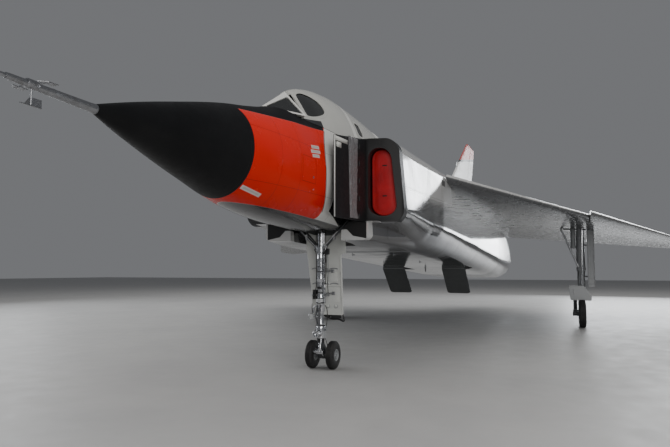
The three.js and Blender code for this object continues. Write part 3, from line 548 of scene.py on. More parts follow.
def painted(name, colour, rough=0.2, seams=None, dirt=0.25, wave=0.0006, coat=0.35, metal=0.0, colour_fn=None, rough_fn=None, matte_fn=None, metal_fn=None):
    g = Mat(name)
    cloud = g.noise(1.3, 4, 0.6)
    streak = g.noise(3.0, 5, 0.6, stretch=(0.25, 1.0, 2.2))
    base = colour_fn(g) if colour_fn else colour
    col = g.darken(g.ramp(cloud, 0.35, 0.75) * dirt * 0.6, base, (0.78, 0.78, 0.76))
    col = g.darken(g.ramp(streak, 0.55, 0.8) * dirt * 0.6, col, (0.66, 0.65, 0.63))
    terms = [(g.noise(1.7, 2, 0.5), wave * 6), (g.noise(230, 2, 0.5), 0.000006)]
    if seams:
        L, D = seams(g)
        col = g.darken(L * 0.75, col, (0.22, 0.22, 0.22))
        col = g.darken(D * 0.22, col, (0.5, 0.5, 0.5))
        terms += [(L.inv(), 0.0012), (D, 0.0005)]
    g.set(Base_Color=col, Metallic=metal, Coat_Weight=coat, Coat_Roughness=0.06)
    if matte_fn:
        keep = matte_fn(g).inv()
        g.set(Coat_Weight=keep * coat)
        if metal:
            g.set(Metallic=keep * (metal_fn(g) if metal_fn else metal))
    elif metal_fn:
        g.set(Metallic=metal_fn(g))
    r = g.ramp(g.noise(5, 3, 0.5), 0.3, 0.7, rough * 0.88, rough * 1.14)
    g.set(Roughness=rough_fn(g, r) if rough_fn else r)
    g.bump(*terms)
    return g.m


def metal(name, colour, rough=0.25, brushed=None, dirt=0.2, wear=(0.08, 0.07, 0.06)):
    g = Mat(name)
    grime = g.ramp(g.noise(14, 5, 0.65), 0.5, 0.75)
    fine = g.noise(60, 3, 0.6, stretch=brushed) if brushed else g.noise(90, 3, 0.6)
    g.set(Base_Color=g.mix(grime * dirt, colour, wear), Metallic=1.0)
    g.set(Roughness=g.ramp(fine, 0.3, 0.7, rough * 0.7, rough * 1.4) + grime * dirt * 0.3)
    g.bump((fine, 0.00008))
    return g.m


def plain(name, colour, rough=0.5, grain=150, depth=0.0001, metallic=0.0, vary=0.25, sheen=0.0, coat=0.0):
    g = Mat(name)
    n = g.noise(6, 4, 0.6)
    g.set(Base_Color=g.mix(g.ramp(n, 0.3, 0.75) * vary, colour, tuple(c * 0.6 for c in colour)), Metallic=metallic)
    g.set(Roughness=g.ramp(g.noise(20, 3, 0.6), 0.3, 0.7, rough * 0.88, min(1, rough * 1.12)))
    if sheen:
        g.set(Sheen_Weight=sheen)
    if coat:
        g.set(Coat_Weight=coat)
    g.bump((g.noise(grain, 2, 0.5), depth))
    return g.m


# --- radome: satin black composite
def radome_material():
    g = Mat("radome_black")
    n = g.noise(2.2, 4, 0.6)
    scuff = g.ramp(g.noise(30, 5, 0.7, stretch=(0.15, 1, 1)), 0.62, 0.8)
    col = g.mix(g.ramp(n, 0.35, 0.7), (0.0032, 0.0034, 0.0040), (0.006, 0.0062, 0.0068))
    col = g.mix(scuff * 0.12, col, (0.05, 0.05, 0.052))
    ring = g.line(g.x, 8.72, 0.006)
    col = g.mix(ring * 0.8, col, (0.002, 0.002, 0.002))
    g.set(Base_Color=col, Roughness=g.ramp(g.noise(12, 4, 0.6), 0.3, 0.7, 0.46, 0.56) + scuff * 0.1, Specular_IOR_Level=0.2)
    g.bump((n, 0.004), (g.noise(180, 3, 0.6), 0.00006), (ring.inv(), 0.001))
    return g.m


# --- forward fuselage: red-orange flank, black deck, white behind, polished belly strip
def forward_deck(g):
    return g.step(g.z - (3.29 + (8.6 - g.x) * 0.079), 0.0, 0.004) * g.step(g.x, 6.70, 0.004)


def forward_rear(g):
    """rear edge of the red: it bows forwards at the top and bottom"""
    dz = g.z - 2.82
    return 6.905 - dz * dz * 0.53


def forward_low_metal_shade(g):
    """bare polished metal below the paint, coloured dark grey as painted shade"""
    return g.step(2.205 + (g.x - 6.8) * 0.040 - g.z, 0.0, 0.012)


def forward_red(g):
    foot = 2.205 + (g.x - 6.8) * 0.040
    dx, dz = (forward_rear(g) + 0.14) - g.x, (foot + 0.14) - g.z
    corner = (dx.max(0.0) * dx.max(0.0) + dz.max(0.0) * dz.max(0.0)).sqrt()
    return g.step(corner, 0.14, 0.004).inv()


def forward_colour(g):
    x, z = g.x, g.z
    low = 3.29 + (8.6 - x) * 0.079                         # lower edge of the black deck
    under = g.step(2.139 + (x - 5.747) * 0.2367 - z, 0.0, 0.004).inv() * g.step(x, 6.56, 0.004).inv() * g.step(z, 2.60, 0.004).inv() * g.step(g.y.abs(), 0.25, 0.01)
    black = g.step(z - low, 0.0, 0.004) * g.step(x, 6.70, 0.004)
    # red flank with rounded rear corners
    foot = 2.205 + (x - 6.8) * 0.040
    dx, dz = (forward_rear(g) + 0.14) - x, (foot + 0.14) - z
    corner = (dx.max(0.0) * dx.max(0.0) + dz.max(0.0) * dz.max(0.0)).sqrt()
    red = g.step(corner, 0.14, 0.004).inv() * black.inv()
    # below the red, the bare metal gets a dark grey: painted shade under the hull
    col = g.mix(red, g.mix(forward_low_metal_shade(g), WHITE, (0.15, 0.148, 0.152)), RED)
    seam = g.line(x - forward_rear(g), -0.012, 0.016) * g.step(z, 2.30, 0.01) * g.step(z, 3.44, 0.01).inv()
    col = g.mix(seam, col, BLACK)
    col = g.mix(g.any(black, under), col, BLACK)
    for cx, cz, hx, hz, tilt in ((7.155, 3.122, 0.135, 0.023, -0.125), (7.175, 3.058, 0.160, 0.022, -0.125), (7.190, 2.998, 0.120, 0.021, -0.125), (8.476, 2.389, 0.180, 0.019, 0.17)):
        v = z - cz - (x - cx) * tilt
        plate = g.inside((x - cx), -hx, hx, 0.003) * g.inside(v, -hz, hz, 0.003) * g.step(g.y, 0.0, 0.01)
        col = g.mix(plate * 0.92, col, (0.55, 0.55, 0.52))
        col = g.mix(g.inside((x - cx), -hx * 0.8, hx * 0.8, 0.003) * g.inside(v, -hz * 0.42, hz * 0.42, 0.003) * g.step(g.y, 0.0, 0.01) * 0.5, col, (0.30, 0.30, 0.29))
    return col


def forward_seams(g):
    L1, D1 = seam_set(g, xs=(8.12, 7.66, 6.90, 6.48, 5.98, 5.40, 4.62, 3.95))
    L2, D2 = seam_set(g, zs=(3.10, 2.50))
    below = g.step(g.z, 3.36, 0.01).inv()
    door = g.inside(g.x, 7.22, 7.62, 0.002) * g.inside(g.z, 2.62, 2.95, 0.002)
    door_in = g.inside(g.x, 7.226, 7.614, 0.002) * g.inside(g.z, 2.626, 2.944, 0.002)
    return g.any(L1, L2 * below, door - door_in), g.any(D1, D2 * below)


M = {}
M["radome"] = radome_material()
M["forward"] = painted("forward_skin", WHITE, 0.16, forward_seams, colour_fn=forward_colour, dirt=0.22, coat=0.3, matte_fn=lambda g: g.any(forward_deck(g), forward_red(g) * 0.85, forward_low_metal_shade(g) * 0.7), metal=0.01, metal_fn=lambda g: forward_low_metal_shade(g) * forward_red(g).inv() * 3.0,
                       rough_fn=lambda g, r: r + forward_deck(g) * 0.28 + forward_red(g) * 0.1)
M["forward"].node_tree.nodes["Principled BSDF"].inputs["IOR"].default_value = 1.33
M["forward"].node_tree.nodes["Principled BSDF"].inputs["Specular IOR Level"].default_value = 0.35
M["white"] = painted("gloss_white", WHITE, 0.2, dirt=0.3, coat=0.4)
M["interior"] = plain("cockpit_grey", (0.16, 0.17, 0.165), 0.6, vary=0.35)


def centre_black(g):
    lip = g.step(g.x, 5.50, 0.006) * g.step(g.z, 2.232, 0.006)
    a = g.y.abs()
    foot = ((a - 0.606) * -0.198 + 2.022).max((a - 0.606) * -1.02 + 2.022).min(2.12)
    fair = g.step(g.x, 5.865, 0.004) * g.step(g.z - foot, 0.0, 0.004) * g.step(g.z, 2.2335, 0.004).inv() * g.step(a, 0.818, 0.004).inv()
    return g.any(lip, fair)


def centre_low_metal_shade(g):
    """bare polished metal low on the sides and below, its colour darkened towards the bottom as painted shade"""
    return g.step(g.z, 2.50, 0.55).inv() * g.step(g.x, 5.785, 0.004).inv()


def centre_colour(g):
    # black paint round the intake lips; the rest white, shinier below, and darkened towards the bottom there as painted
    # shade
    lip = g.step(g.x, 5.50, 0.006) * g.step(g.z, 2.232, 0.006)
    mouth_in = g.step(g.x, 4.7, 0.05) * g.inside(g.y.abs(), 0.70, 1.2105, 0.003) * g.inside(g.z, 2.26, 3.345, 0.003)
    front = g.step(g.x, 5.895, 0.003) * g.step(g.z, 2.15, 0.01).inv()
    col = g.mix(centre_low_metal_shade(g), (0.60, 0.60, 0.595), (0.20, 0.20, 0.205))
    return g.mix(g.any(lip, mouth_in, centre_black(g)), col, (0.006, 0.006, 0.0065))


def centre_seams(g):
    L1, D1 = seam_set(g, xs=(5.05, 4.25, 3.35, 2.45, 1.5, 0.4, -0.75, -1.9, -3.05, -4.2), width=0.005)
    L2, D2 = seam_set(g, zs=(2.78,))
    L3, D3 = seam_set(g, ys=(-0.98, -0.35, 0.35, 0.98))
    flat = g.step((g.z - 2.75).abs(), 0.5, 0.05)
    return g.any(L1, L2, L3 * flat), g.any(D1, D2, D3 * flat)


M["centre"] = painted("centre_skin", (0.6, 0.6, 0.595), 0.13, centre_seams, colour_fn=centre_colour, dirt=0.3, coat=0.6, wave=0.0011, metal=0.35, matte_fn=lambda g: g.any(centre_black(g), centre_low_metal_shade(g) * 0.8), metal_fn=lambda g: centre_low_metal_shade(g) * 3.2 + 0.35, rough_fn=lambda g, r: r + centre_black(g) * 0.3)
# belly pack: metal coloured dark grey, a painted shade under the fuselage
M["pack"] = painted("belly_skin", (0.20, 0.20, 0.206), 0.09, lambda g: seam_set(g, xs=(3.2, 2.35, 1.5, 0.65, -0.2), ys=(-0.72, 0.0, 0.72), width=0.006), dirt=0.3, coat=0.1, wave=0.0016, metal=1.0)


# the underside of the wing is coloured dark grey as painted shade; the upper side stays light grey
def wing_colour(g):
    plane = 3.270 - 0.05 * (3.085 - g.x) - math.tan(math.radians(4.06)) * (g.y.abs() - 1.45)
    return g.mix(g.step(g.z - plane, 0.0, 0.02), (0.15, 0.153, 0.16), (0.62, 0.62, 0.61))


def wing_under_metal_shade(g):
    plane = 3.270 - 0.05 * (3.085 - g.x) - math.tan(math.radians(4.06)) * (g.y.abs() - 1.45)
    return g.step(g.z - plane, 0.0, 0.02).inv()


def wing_seams(g):
    a = g.y.abs()
    chord = g.x + (a - 1.45) * 1.0
    L1, D1 = seam_set(g, xs=(-1.6, -3.0, -4.4, -5.8), width=0.006)
    lines, dots = [L1], [D1]
    for at in (2.15, 3.0, 4.9, 5.8, 6.7):
        lines.append(g.line(a, at, 0.006))
        dots.append(g.rivets(a, at, g.x))
    for at in (0.55, -1.9, -4.6):
        lines.append(g.line(g.x + (a - 1.45) * 1.15, at, 0.006))
        dots.append(g.rivets(g.x + (a - 1.45) * 1.15, at, a))
    return g.any(*lines), g.any(*dots)


M["wing"] = painted("wing_skin", (0.6, 0.6, 0.6), 0.26, wing_seams, colour_fn=wing_colour, dirt=0.35, coat=0.3, wave=0.00008, metal=0.35, matte_fn=lambda g: wing_under_metal_shade(g) * 0.7, metal_fn=lambda g: wing_under_metal_shade(g) * 1.2 + 0.3)


def fin_colour(g):
    edge = g.z + (g.x + 7.26) * 0.171                      # the stripe leans down with the tip
    col = g.mix(g.step(edge, 5.375, 0.006), (0.66, 0.66, 0.65), (0.008, 0.008, 0.009))
    return g.mix(g.step(edge, 5.453, 0.006), col, (0.42, 0.030, 0.020))


M["fin"] = painted("fin_skin", (0.66, 0.66, 0.65), 0.42, lambda g: seam_set(g, xs=(-5.2, -6.4, -7.6), zs=(3.95, 4.7, 5.46), width=0.006), colour_fn=fin_colour, dirt=0.3, coat=0.02)
# lower sides and belly: more metallic, and darker towards the bottom as painted shade
def aft_low_metal_shade(g):
    return g.step(g.z - (g.x + 5.4) * 0.05, 2.25, 0.6).inv()


M["aft"] = painted("aft_skin", (0.58, 0.58, 0.575), 0.22, lambda g: seam_set(g, xs=(-6.1, -7.0, -7.9, -8.8, -9.8), ys=(-0.65, 0.65), width=0.006), colour_fn=lambda g: g.mix(aft_low_metal_shade(g), (0.58, 0.58, 0.575), (0.22, 0.22, 0.225)), dirt=0.45, coat=0.3, wave=0.0006, metal=0.35, matte_fn=lambda g: aft_low_metal_shade(g) * 0.7, metal_fn=lambda g: aft_low_metal_shade(g) * 1.8 + 0.3)
M["spine"] = painted("spine_skin", (0.68, 0.68, 0.67), 0.18, lambda g: seam_set(g, xs=(2.9, 1.9, 0.7, -0.7, -2.1, -3.6, -5.2, -6.8, -8.2), width=0.005), dirt=0.3, coat=0.5)
def canopy_colour(g):
    foot = g.step(g.x, 6.665, 0.004) * g.step(3.592 - (g.x - 6.66) * 0.14 - g.z, 0.0, 0.004)
    return g.mix(foot, (0.46, 0.46, 0.435), BLACK)


M["canopy"] = painted("canopy_white", (0.46, 0.46, 0.435), 0.2, colour_fn=canopy_colour, dirt=0.2, coat=0.5)
M["rim"] = painted("window_rim", (0.42, 0.42, 0.40), 0.3, dirt=0.4, coat=0.2)
M["lip"] = plain("lip_black", (0.005, 0.005, 0.0055), 0.34, 90, 0.00015, coat=0.2)
M["duct"] = metal("duct_alloy", (0.30, 0.30, 0.31), 0.35, dirt=0.4)
M["hub"] = painted("hub_grey", (0.26, 0.27, 0.28), 0.3, dirt=0.6, coat=0.15)
M["dial"] = plain("dial_black", (0.008, 0.008, 0.008), 0.25, 60, 0.00005, coat=0.4)
M["needle"] = plain("dial_white", (0.7, 0.7, 0.66), 0.4)
M["black"] = plain("satin_black", (0.012, 0.012, 0.013), 0.42, 120, 0.0001)
M["dark"] = plain("bay_dark", (0.05, 0.052, 0.055), 0.6, 90, 0.0003)
M["primer"] = plain("bay_green", (0.10, 0.115, 0.085), 0.6, 90, 0.0003)
M["chrome"] = metal("polished_steel", (0.62, 0.63, 0.65), 0.12, dirt=0.25)
M["steel"] = metal("dull_steel", (0.34, 0.345, 0.36), 0.36, dirt=0.5)
M["alloy"] = metal("bare_alloy", (0.55, 0.56, 0.57), 0.3, dirt=0.35)
M["gold"] = metal("brass_fittings", (0.45, 0.36, 0.2), 0.3, dirt=0.4)
M["burnt"] = metal("heat_metal", (0.16, 0.14, 0.125), 0.42, brushed=(0.3, 3, 3), dirt=0.6)
M["brake"] = plain("brake_grey", (0.085, 0.09, 0.09), 0.42, 100, 0.0001, vary=0.35)
# darkest gear grey; on the nose fork casting it stands for painted shade
M["gear_dark"] = plain("gear_dark_grey", (0.045, 0.047, 0.052), 0.38, 100, 0.0001, vary=0.4, coat=0.1)
M["gear_grey"] = plain("gear_grey", (0.23, 0.24, 0.25), 0.42, 100, 0.0001, vary=0.4)
M["door"] = painted("door_white", (0.56, 0.57, 0.55), 0.3, dirt=0.5, coat=0.2)
M["door_grey"] = painted("door_grey", (0.36, 0.37, 0.38), 0.33, dirt=0.5, coat=0.15, metal=0.2)
M["hose"] = plain("black_hose", (0.012, 0.012, 0.012), 0.55, 400, 0.0002)
M["cloth"] = plain("seat_cloth", (0.085, 0.085, 0.05), 0.9, 900, 0.0006, sheen=0.3, vary=0.5)
M["strap"] = plain("webbing", (0.20, 0.185, 0.13), 0.85, 1200, 0.0005, sheen=0.2)
M["leather"] = plain("head_pad", (0.03, 0.02, 0.012), 0.45, 260, 0.0004)
M["yellow"] = plain("handle_yellow", (0.62, 0.42, 0.02), 0.4)
M["lamp_red"] = plain("lens_red", (0.5, 0.01, 0.01), 0.12, coat=0.5)
M["lamp_green"] = plain("lens_green", (0.01, 0.3, 0.08), 0.12, coat=0.5)
M["label"] = plain("pale_plate", (0.55, 0.55, 0.52), 0.4)


def glass_material(name, tint, alpha):
    g = Mat(name)
    g.set(Base_Color=g.mix(g.ramp(g.noise(5, 3), 0.3, 0.8) * 0.3, tint, tuple(c * 1.6 for c in tint)), Roughness=0.04, IOR=1.5, Coat_Weight=0.4)
    g.set(Alpha=g.ramp(g.noise(3, 3), 0.3, 0.8, alpha, min(1, alpha + 0.06)))
    return g.m


M["glass"] = glass_material("cockpit_glass", (0.012, 0.013, 0.013), 0.80)
M["lens"] = glass_material("lamp_glass", (0.6, 0.62, 0.62), 0.35)


def rubber_material():
    g = Mat("tyre_rubber")
    dust = g.ramp(g.noise(7, 5, 0.7), 0.45, 0.8)
    col = g.mix(dust * 0.5, (0.016, 0.016, 0.017), (0.075, 0.072, 0.066))
    g.set(Base_Color=col, Roughness=g.ramp(g.noise(40, 3), 0.3, 0.7, 0.62, 0.82))
    g.bump((g.noise(120, 4, 0.6), 0.0006))
    return g.m


M["rubber"] = rubber_material()


def cover_material():
    g = Mat("cover_red")
    crease = g.noise(3.2, 3, 0.5, distort=0.6)
    col = g.mix(g.ramp(crease, 0.35, 0.7), (0.44, 0.006, 0.010), (0.30, 0.004, 0.007))
    g.set(Base_Color=col, Roughness=g.ramp(g.noise(25, 4, 0.6), 0.3, 0.7, 0.34, 0.5), Coat_Weight=0.15)
    g.bump((crease, 0.012), (g.noise(420, 2, 0.5), 0.00015))
    return g.m


M["cover"] = cover_material()


def ramp_material():
    g = Mat("ramp_black")
    holes = g.cells(55)
    zone = g.inside(g.x, 5.80, 6.02, 0.004)
    dots = g.step(holes, 0.26, 0.06).inv() * zone
    worn = g.ramp(g.noise(6, 5, 0.7), 0.5, 0.8)
    col = g.mix(worn * 0.35, (0.007, 0.007, 0.008), (0.022, 0.022, 0.023))
    g.set(Base_Color=col, Roughness=g.ramp(g.noise(30, 4), 0.3, 0.7, 0.42, 0.56), Specular_IOR_Level=0.3)
    g.bump((g.noise(3, 2), 0.003), (dots.inv(), 0.001))
    return g.m


def foil_material():
    g = Mat("foil_strip")
    a = g.noise(24, 3, 0.6, distort=1.4, stretch=(1.4, 1.4, 0.55))
    b = g.noise(70, 3, 0.6, distort=1.0)
    g.set(Base_Color=g.mix(g.ramp(a, 0.3, 0.7), (0.17, 0.165, 0.172), (0.33, 0.32, 0.33)), Metallic=0.55, Roughness=g.ramp(b, 0.3, 0.7, 0.3, 0.46))
    g.bump((a, 0.02), (b, 0.003))
    return g.m


M["ramp"] = ramp_material()
M["foil"] = foil_material()

# =====================================================================
# outlines
# =====================================================================


def smooth(table, xs):
    """rows by falling first column, read at xs, with a smooth curve that never overshoots"""
    T = np.array(table, float)[::-1]
    x = T[:, 0]
    h = np.diff(x)
    i = np.clip(np.searchsorted(x, xs, side="right") - 1, 0, len(x) - 2)
    t = (np.asarray(xs, float) - x[i]) / h[i]
    cols = []
    for c in range(1, T.shape[1]):
        y = T[:, c]
        d = np.diff(y) / h
        m = np.zeros(len(x))
        p = d[:-1] * d[1:]
        m[1:-1] = np.where(p > 0, 2 * p / np.where(p > 0, d[:-1] + d[1:], 1), 0)
        m[0], m[-1] = d[0], d[-1]
        cols.append((2 * t ** 3 - 3 * t ** 2 + 1) * y[i] + (t ** 3 - 2 * t ** 2 + t) * h[i] * m[i]
                    + (-2 * t ** 3 + 3 * t ** 2) * y[i + 1] + (t ** 3 - t ** 2) * h[i] * m[i + 1])
    return np.stack(cols, 1)


def stations(a, b, step):
    n = max(2, int(math.ceil(abs(a - b) / step)) + 1)
    return np.linspace(a, b, n)


def oval_rings(table, xs, grow=0.0, n=112):
    rows = smooth(table, xs)
    a = 2 * math.pi * (np.arange(n) + 0.5) / n
    c, s = np.cos(a), np.sin(a)
    g = np.broadcast_to(grow, (len(xs),))
    rings = []
    for x, (half, zt, zw, zb, nt, nb), gr in zip(xs, rows, g):
        e = np.where(s > 0, nt, nb)
        h = np.where(s > 0, zt - zw, zw - zb) + gr
        rings.append(np.stack([np.full(n, x), np.sign(c) * np.abs(c) ** (2 / e) * (half + gr), zw + np.sign(s) * np.abs(s) ** (2 / e) * h], 1))
    return rings


def round_box(x, y0, y1, z0, z1, rt, rb, grow=0.0, seg=14):
    a0, a1, b0, b1 = y0 - grow, y1 + grow, z0 - grow, z1 + grow
    pts = []
    for cy, cz, r, start in ((a1, b1, rt, 0), (a0, b1, rt, 90), (a0, b0, rb, 180), (a1, b0, rb, 270)):
        R = r + grow
        oy = cy + (-R if start in (0, 270) else R)
        oz = cz + (-R if start < 180 else R)
        for k in range(seg + 1):
            t = math.radians(start + 90 * k / seg)
            pts.append((x, oy + R * math.cos(t), oz + R * math.sin(t)))
    return pts


NOSE = [
    [10515, 45, 2885, 2840, 2795, 2, 2], [10250, 128, 2966, 2842, 2712, 2, 2], [9900, 225, 3066, 2842, 2615, 2, 2],
    [9450, 332, 3184, 2840, 2496, 2, 2], [9050, 414, 3286, 2840, 2396, 2, 2], [8675, 480, 3372, 2836, 2300, 2, 2]]
FORWARD = [
    [8675, 480, 3372, 2836, 2300, 2, 2], [8200, 538, 3462, 2835, 2212, 2, 2.15], [7660, 572, 3592, 2835, 2152, 2, 2.35],
    [7300, 580, 3770, 2840, 2126, 1.7, 2.45], [6970, 585, 3985, 2845, 2108, 1.5, 2.5], [6600, 590, 4115, 2850, 2094, 1.62, 2.5],
    [6150, 594, 4200, 2850, 2080, 1.75, 2.5], [5555, 600, 4240, 2845, 2062, 1.85, 2.5], [4600, 610, 4215, 2825, 2030, 1.9, 2.5],
    [3650, 620, 4160, 2785, 1985, 1.9, 2.5]]
LINES = NOSE + FORWARD[1:]
FIT, RUN, SHELL = 0.4, 8, 50


def sill(x):
    return 3420 + (x - 3700) * 0.0229


BOW_FOOT, BOW_TOP, SCREEN_FRONT = (7215, 3512), (6965, 4000), (7650, 3598)


def bow_x(z):
    return BOW_FOOT[0] + (z - BOW_FOOT[1]) / (BOW_TOP[1] - BOW_FOOT[1]) * (BOW_TOP[0] - BOW_FOOT[0])


def body_tube(x1, x0, grow=0.0, step=45, n=112):
    return loft(oval_rings(LINES, stations(x1, x0, step), grow, n))


PACK_X = (3850, -870)


def pack_top(x):
    return 2300 + (x - 3850) * ((2300 - 2090) / (3850 + 1105))


def pack_slab(gap):
    return slab_y([(PACK_X[0] + gap, pack_top(PACK_X[0]) + gap), (PACK_X[1] - gap, pack_top(PACK_X[1]) + gap), (PACK_X[1] - gap, 1300), (PACK_X[0] + gap, 1300)], -1700, 1700)


FRONT_AFT, REAR = 5470, (5330, 3950)

# ---------- radome and probe ----------
nose_xs = np.concatenate([10515 - (10515 - 10400) * np.linspace(0, 1, 8)[:-1] ** 1.5, stations(10400, 8675 + FIT, 40)])
place(loft(oval_rings(LINES, nose_xs, 0, 128)), "radome_shell", "airframe", M["radome"], ["radome"], 60)

TIP, PROBE = 10515, 11855
probe = [
    turned_data((TIP - 4 + FIT + 4, 0, 2840), (860 + 0, 0, 28), [(0, 42), (6, 43), (50, 41), (56, 39.5), (430, 33), (436, 34.5), (452, 34.5), (458, 32.5), (840, 25.5), (860, 24), (864, 17)], 28),
    turned_data((PROBE - 481, 0, 2868), (481, 0, 12), [(0, 16), (8, 17), (60, 16), (64, 14.5), (440, 9.5), (470, 8), (481.2, 5.5)], 20),
    bar_data((TIP + 640, -176, 2862), (TIP + 640, 176, 2862), 8, seg=12),
    bar_data((TIP + 640, 0, 2712), (TIP + 640, 0, 2862), 8, seg=12),
    turned_data((TIP + 590, 0, 2864), (100, 0, 3), [(0, 32), (10, 37), (90, 37), (100, 32)], 24),
]
for s in (1, -1):
    probe.append(slab_data([(TIP + 560, s * 120), (TIP + 560, s * 182), (TIP + 650, s * 182), (TIP + 700, s * 120)], 2, 2859.5, 2864.5))
probe.append(slab_data([(TIP + 545, 2708), (TIP + 545, 2770), (TIP + 650, 2770), (TIP + 700, 2708)], 1, -2.5, 2.5))
probe.append(bar_data((TIP + 545, 0, 2709), (TIP + 735, 0, 2709), 7, 4, 10))
grouped(probe, "nose_probe_boom", "airframe", M["steel"], ["nose_probe"], 40)

# ---------- forward fuselage ----------
hull = body_tube(8675, 3650)
bay_front = slab_y([(bow_x(sill(7200)), sill(7200)), (bow_x(4600), 4600), (FRONT_AFT, 4600), (FRONT_AFT, sill(FRONT_AFT))], -900, 900)
bay_rear = slab_y([(REAR[0], sill(REAR[0])), (REAR[0], 4600), (REAR[1], 4600), (REAR[1], sill(REAR[1]))], -900, 900)
screen_cut = slab_y([SCREEN_FRONT, (7800, 4600), (bow_x(4600), 4600), (bow_x(3500), 3500)], -900, 900)
tubs = [meet(body_tube(x1 + 60, x0 - 60, -SHELL, 90, 80), box(x0, x1, -520, 520, z0, 4600)) for x1, x0, z0 in ((7300, 5500, 2860), (5300, 3980, 2860))]
nose_bay = box(5330, 6250, -250, 250, 1900, 2700)
cut(hull, bay_front, bay_rear, screen_cut, *tubs, nose_bay, pack_slab(FIT))


def depth_share(c):
    """1 on the outer surface of the forward fuselage, less inside"""
    half, zt, zw, zb, nt, nb = smooth(LINES, c[:, 0]).T
    up_side = c[:, 2] > zw
    e, h = np.where(up_side, nt, nb), np.where(up_side, zt - zw, zw - zb)
    return (np.abs(c[:, 1]) / half) ** e + (np.abs(c[:, 2] - zw) / h) ** e


paint(hull, 1, lambda c, n: (depth_share(c) < 0.9) & (c[:, 0] < 7700) & (c[:, 0] > 3700))
paint(hull, 2, lambda c, n: (depth_share(c) < 0.93) & (c[:, 0] < 6260) & (c[:, 0] > 5320) & (c[:, 2] < 2710))
place(hull, "forward_fuselage_skin", "airframe", [M["forward"], M["interior"], M["primer"]], ["forward_fuselage"], 30)

# ---------- canopy halves ----------
WINDOW = {
    "front": [(6955, 3925), (7030, 3588), (6880, 3600), (6700, 3645), (6480, 3722), (6385, 3790), (6390, 3870), (6445, 3945), (6590, 3998), (6780, 4010)],
    "rear": [(5225, 3880), (5225, 3720), (5185, 3680), (5010, 3680), (4965, 3720), (4965, 3880), (5010, 3920), (5185, 3920)]}


def rounded(pts, r=0.30, steps=6):
    """closed outline with its corners rounded off"""
    P = np.asarray(pts, float)
    out = []
    for i in range(len(P)):
        a, b, c = P[i - 1], P[i], P[(i + 1) % len(P)]
        p, q = b + (a - b) * r, b + (c - b) * r
        for k in range(steps + 1):
            t = k / steps
            out.append((1 - t) ** 2 * p + 2 * t * (1 - t) * b + t * t * q)
    return np.array(out)


def shrunk(P, d):
    """closed outline moved inwards by d"""
    P = np.asarray(P, float)
    T = np.roll(P, -1, 0) - np.roll(P, 1, 0)
    N = np.stack([-T[:, 1], T[:, 0]], 1) / np.linalg.norm(T, axis=1)[:, None]
    c = P.mean(0)
    if np.sum(N * (c - P)) < 0:
        N = -N
    return P + N * d


HINGE = {"front": (575, 0), "rear": (556, 62)}
FRONT_EDGE = [(0, 23), (90, -8), (375, -140), (743, -222), (1200, -300)]


def front_trim():
    return mesh_obj(*turned_data((7200, HINGE["front"][0], sill(7200)), (1, 0, 0.0229), [(-2200, 0.01), (-2200, 1200)] + [(h, max(r, 0.01)) for r, h in reversed(FRONT_EDGE)], 96))


outer_shell = body_tube(7450, 3800, 0, 45, 112)
inner_shell = body_tube(7500, 3750, -SHELL, 45, 112)
cut(outer_shell, inner_shell)
half_shell = meet(outer_shell, box(3000, 8000, RUN / 2, 900, 2900, 4600))
trims = {
    "front": [(bow_x(sill(7200)) - 2 * RUN, sill(7200) + RUN), (bow_x(4600) - RUN, 4600), (FRONT_AFT + RUN, 4600), (FRONT_AFT + RUN, sill(FRONT_AFT) + RUN)],
    "rear": [(REAR[0] - RUN, sill(REAR[0]) + RUN), (REAR[0] - RUN, 4600), (REAR[1] + RUN, 4600), (REAR[1] + RUN, sill(REAR[1]) + RUN)]}
for bay in ("front", "rear"):
    outline = rounded(WINDOW[bay], 0.42, 7)
    half = meet(clone(half_shell), slab_y(trims[bay], 0, 900))
    cut(half, slab_y(outline, 20, 900))
    if bay == "front":
        meet(half, front_trim())
    # glass a little below the skin, and a screwed rim round it
    glass = cut(body_tube(7300, 4600, -9, 45, 112), body_tube(7350, 4550, -17, 45, 112))
    meet(glass, slab_y(shrunk(outline, 1.0), 20, 900))
    rim = cut(body_tube(7300, 4600, 2.5, 45, 112), body_tube(7350, 4550, -6, 45, 112))
    meet(rim, slab_y(shrunk(outline, -24), 20, 900), slab_y(trims[bay], 0, 900))
    if bay == "front":
        meet(rim, front_trim())
    cut(rim, slab_y(shrunk(outline, 10), 20, 900))
    paint(half, 1, lambda c, n: depth_share(c) < 0.93)
    for side, (h, g_, r_) in (("left", (half, glass, rim)), ("right", (mirrored(half), mirrored(glass), mirrored(rim)))):
        body = f"canopy_{bay}_{side}"
        place(h, f"{body}_shell", body, [M["canopy"], M["interior"]], [body], 30)
        place(g_, f"{body}_glass", body, M["glass"], [f"canopy_window_{bay}_{side}"], 30)
        place(r_, f"{body}_rim", body, M["rim"], (), 30)
drop(half_shell)

# ---------- windscreen: V of two flat panes in a frame ----------
SA, SB, SC = np.array([7644.0, 0, 3599]), np.array([6985.0, 0, 3972]), np.array([7212.0, 440, 3528])


def wedge(a, b, c):
    d = c * np.array([1, -1, 1])
    V = np.array([a, b, c, d])
    return mesh_obj(V, outward(V, [(0, 1, 2), (0, 3, 1), (1, 3, 2), (0, 2, 3)]))


GLASS = [(0.9, 0.05, 0.05), (0.06, 0.77, 0.17), (0.04, 0.07, 0.89)]
pane_corners = [a * SA + b * SB + c * SC for a, b, c in GLASS]
mid = sum(pane_corners) / 3
face_n = np.cross(SB - SA, SC - SA)
face_n /= np.linalg.norm(face_n)
if face_n[1] < 0:
    face_n = -face_n


def pane_prism(k, d0, d1, soft=0.0):
    tri = [p + (mid - p) * k for p in pane_corners]
    if soft:
        pts = []
        for i in range(3):
            a, b, c = tri[i - 1], tri[i], tri[(i + 1) % 3]
            for s in range(7):
                t = s / 6
                p, q = b + (a - b) * soft, b + (c - b) * soft
                pts.append((1 - t) ** 2 * p + 2 * t * (1 - t) * b + t * t * q)
        tri = pts
    return mesh_obj(*loft_data([[p + face_n * d for p in tri] for d in (d0, d1)]))


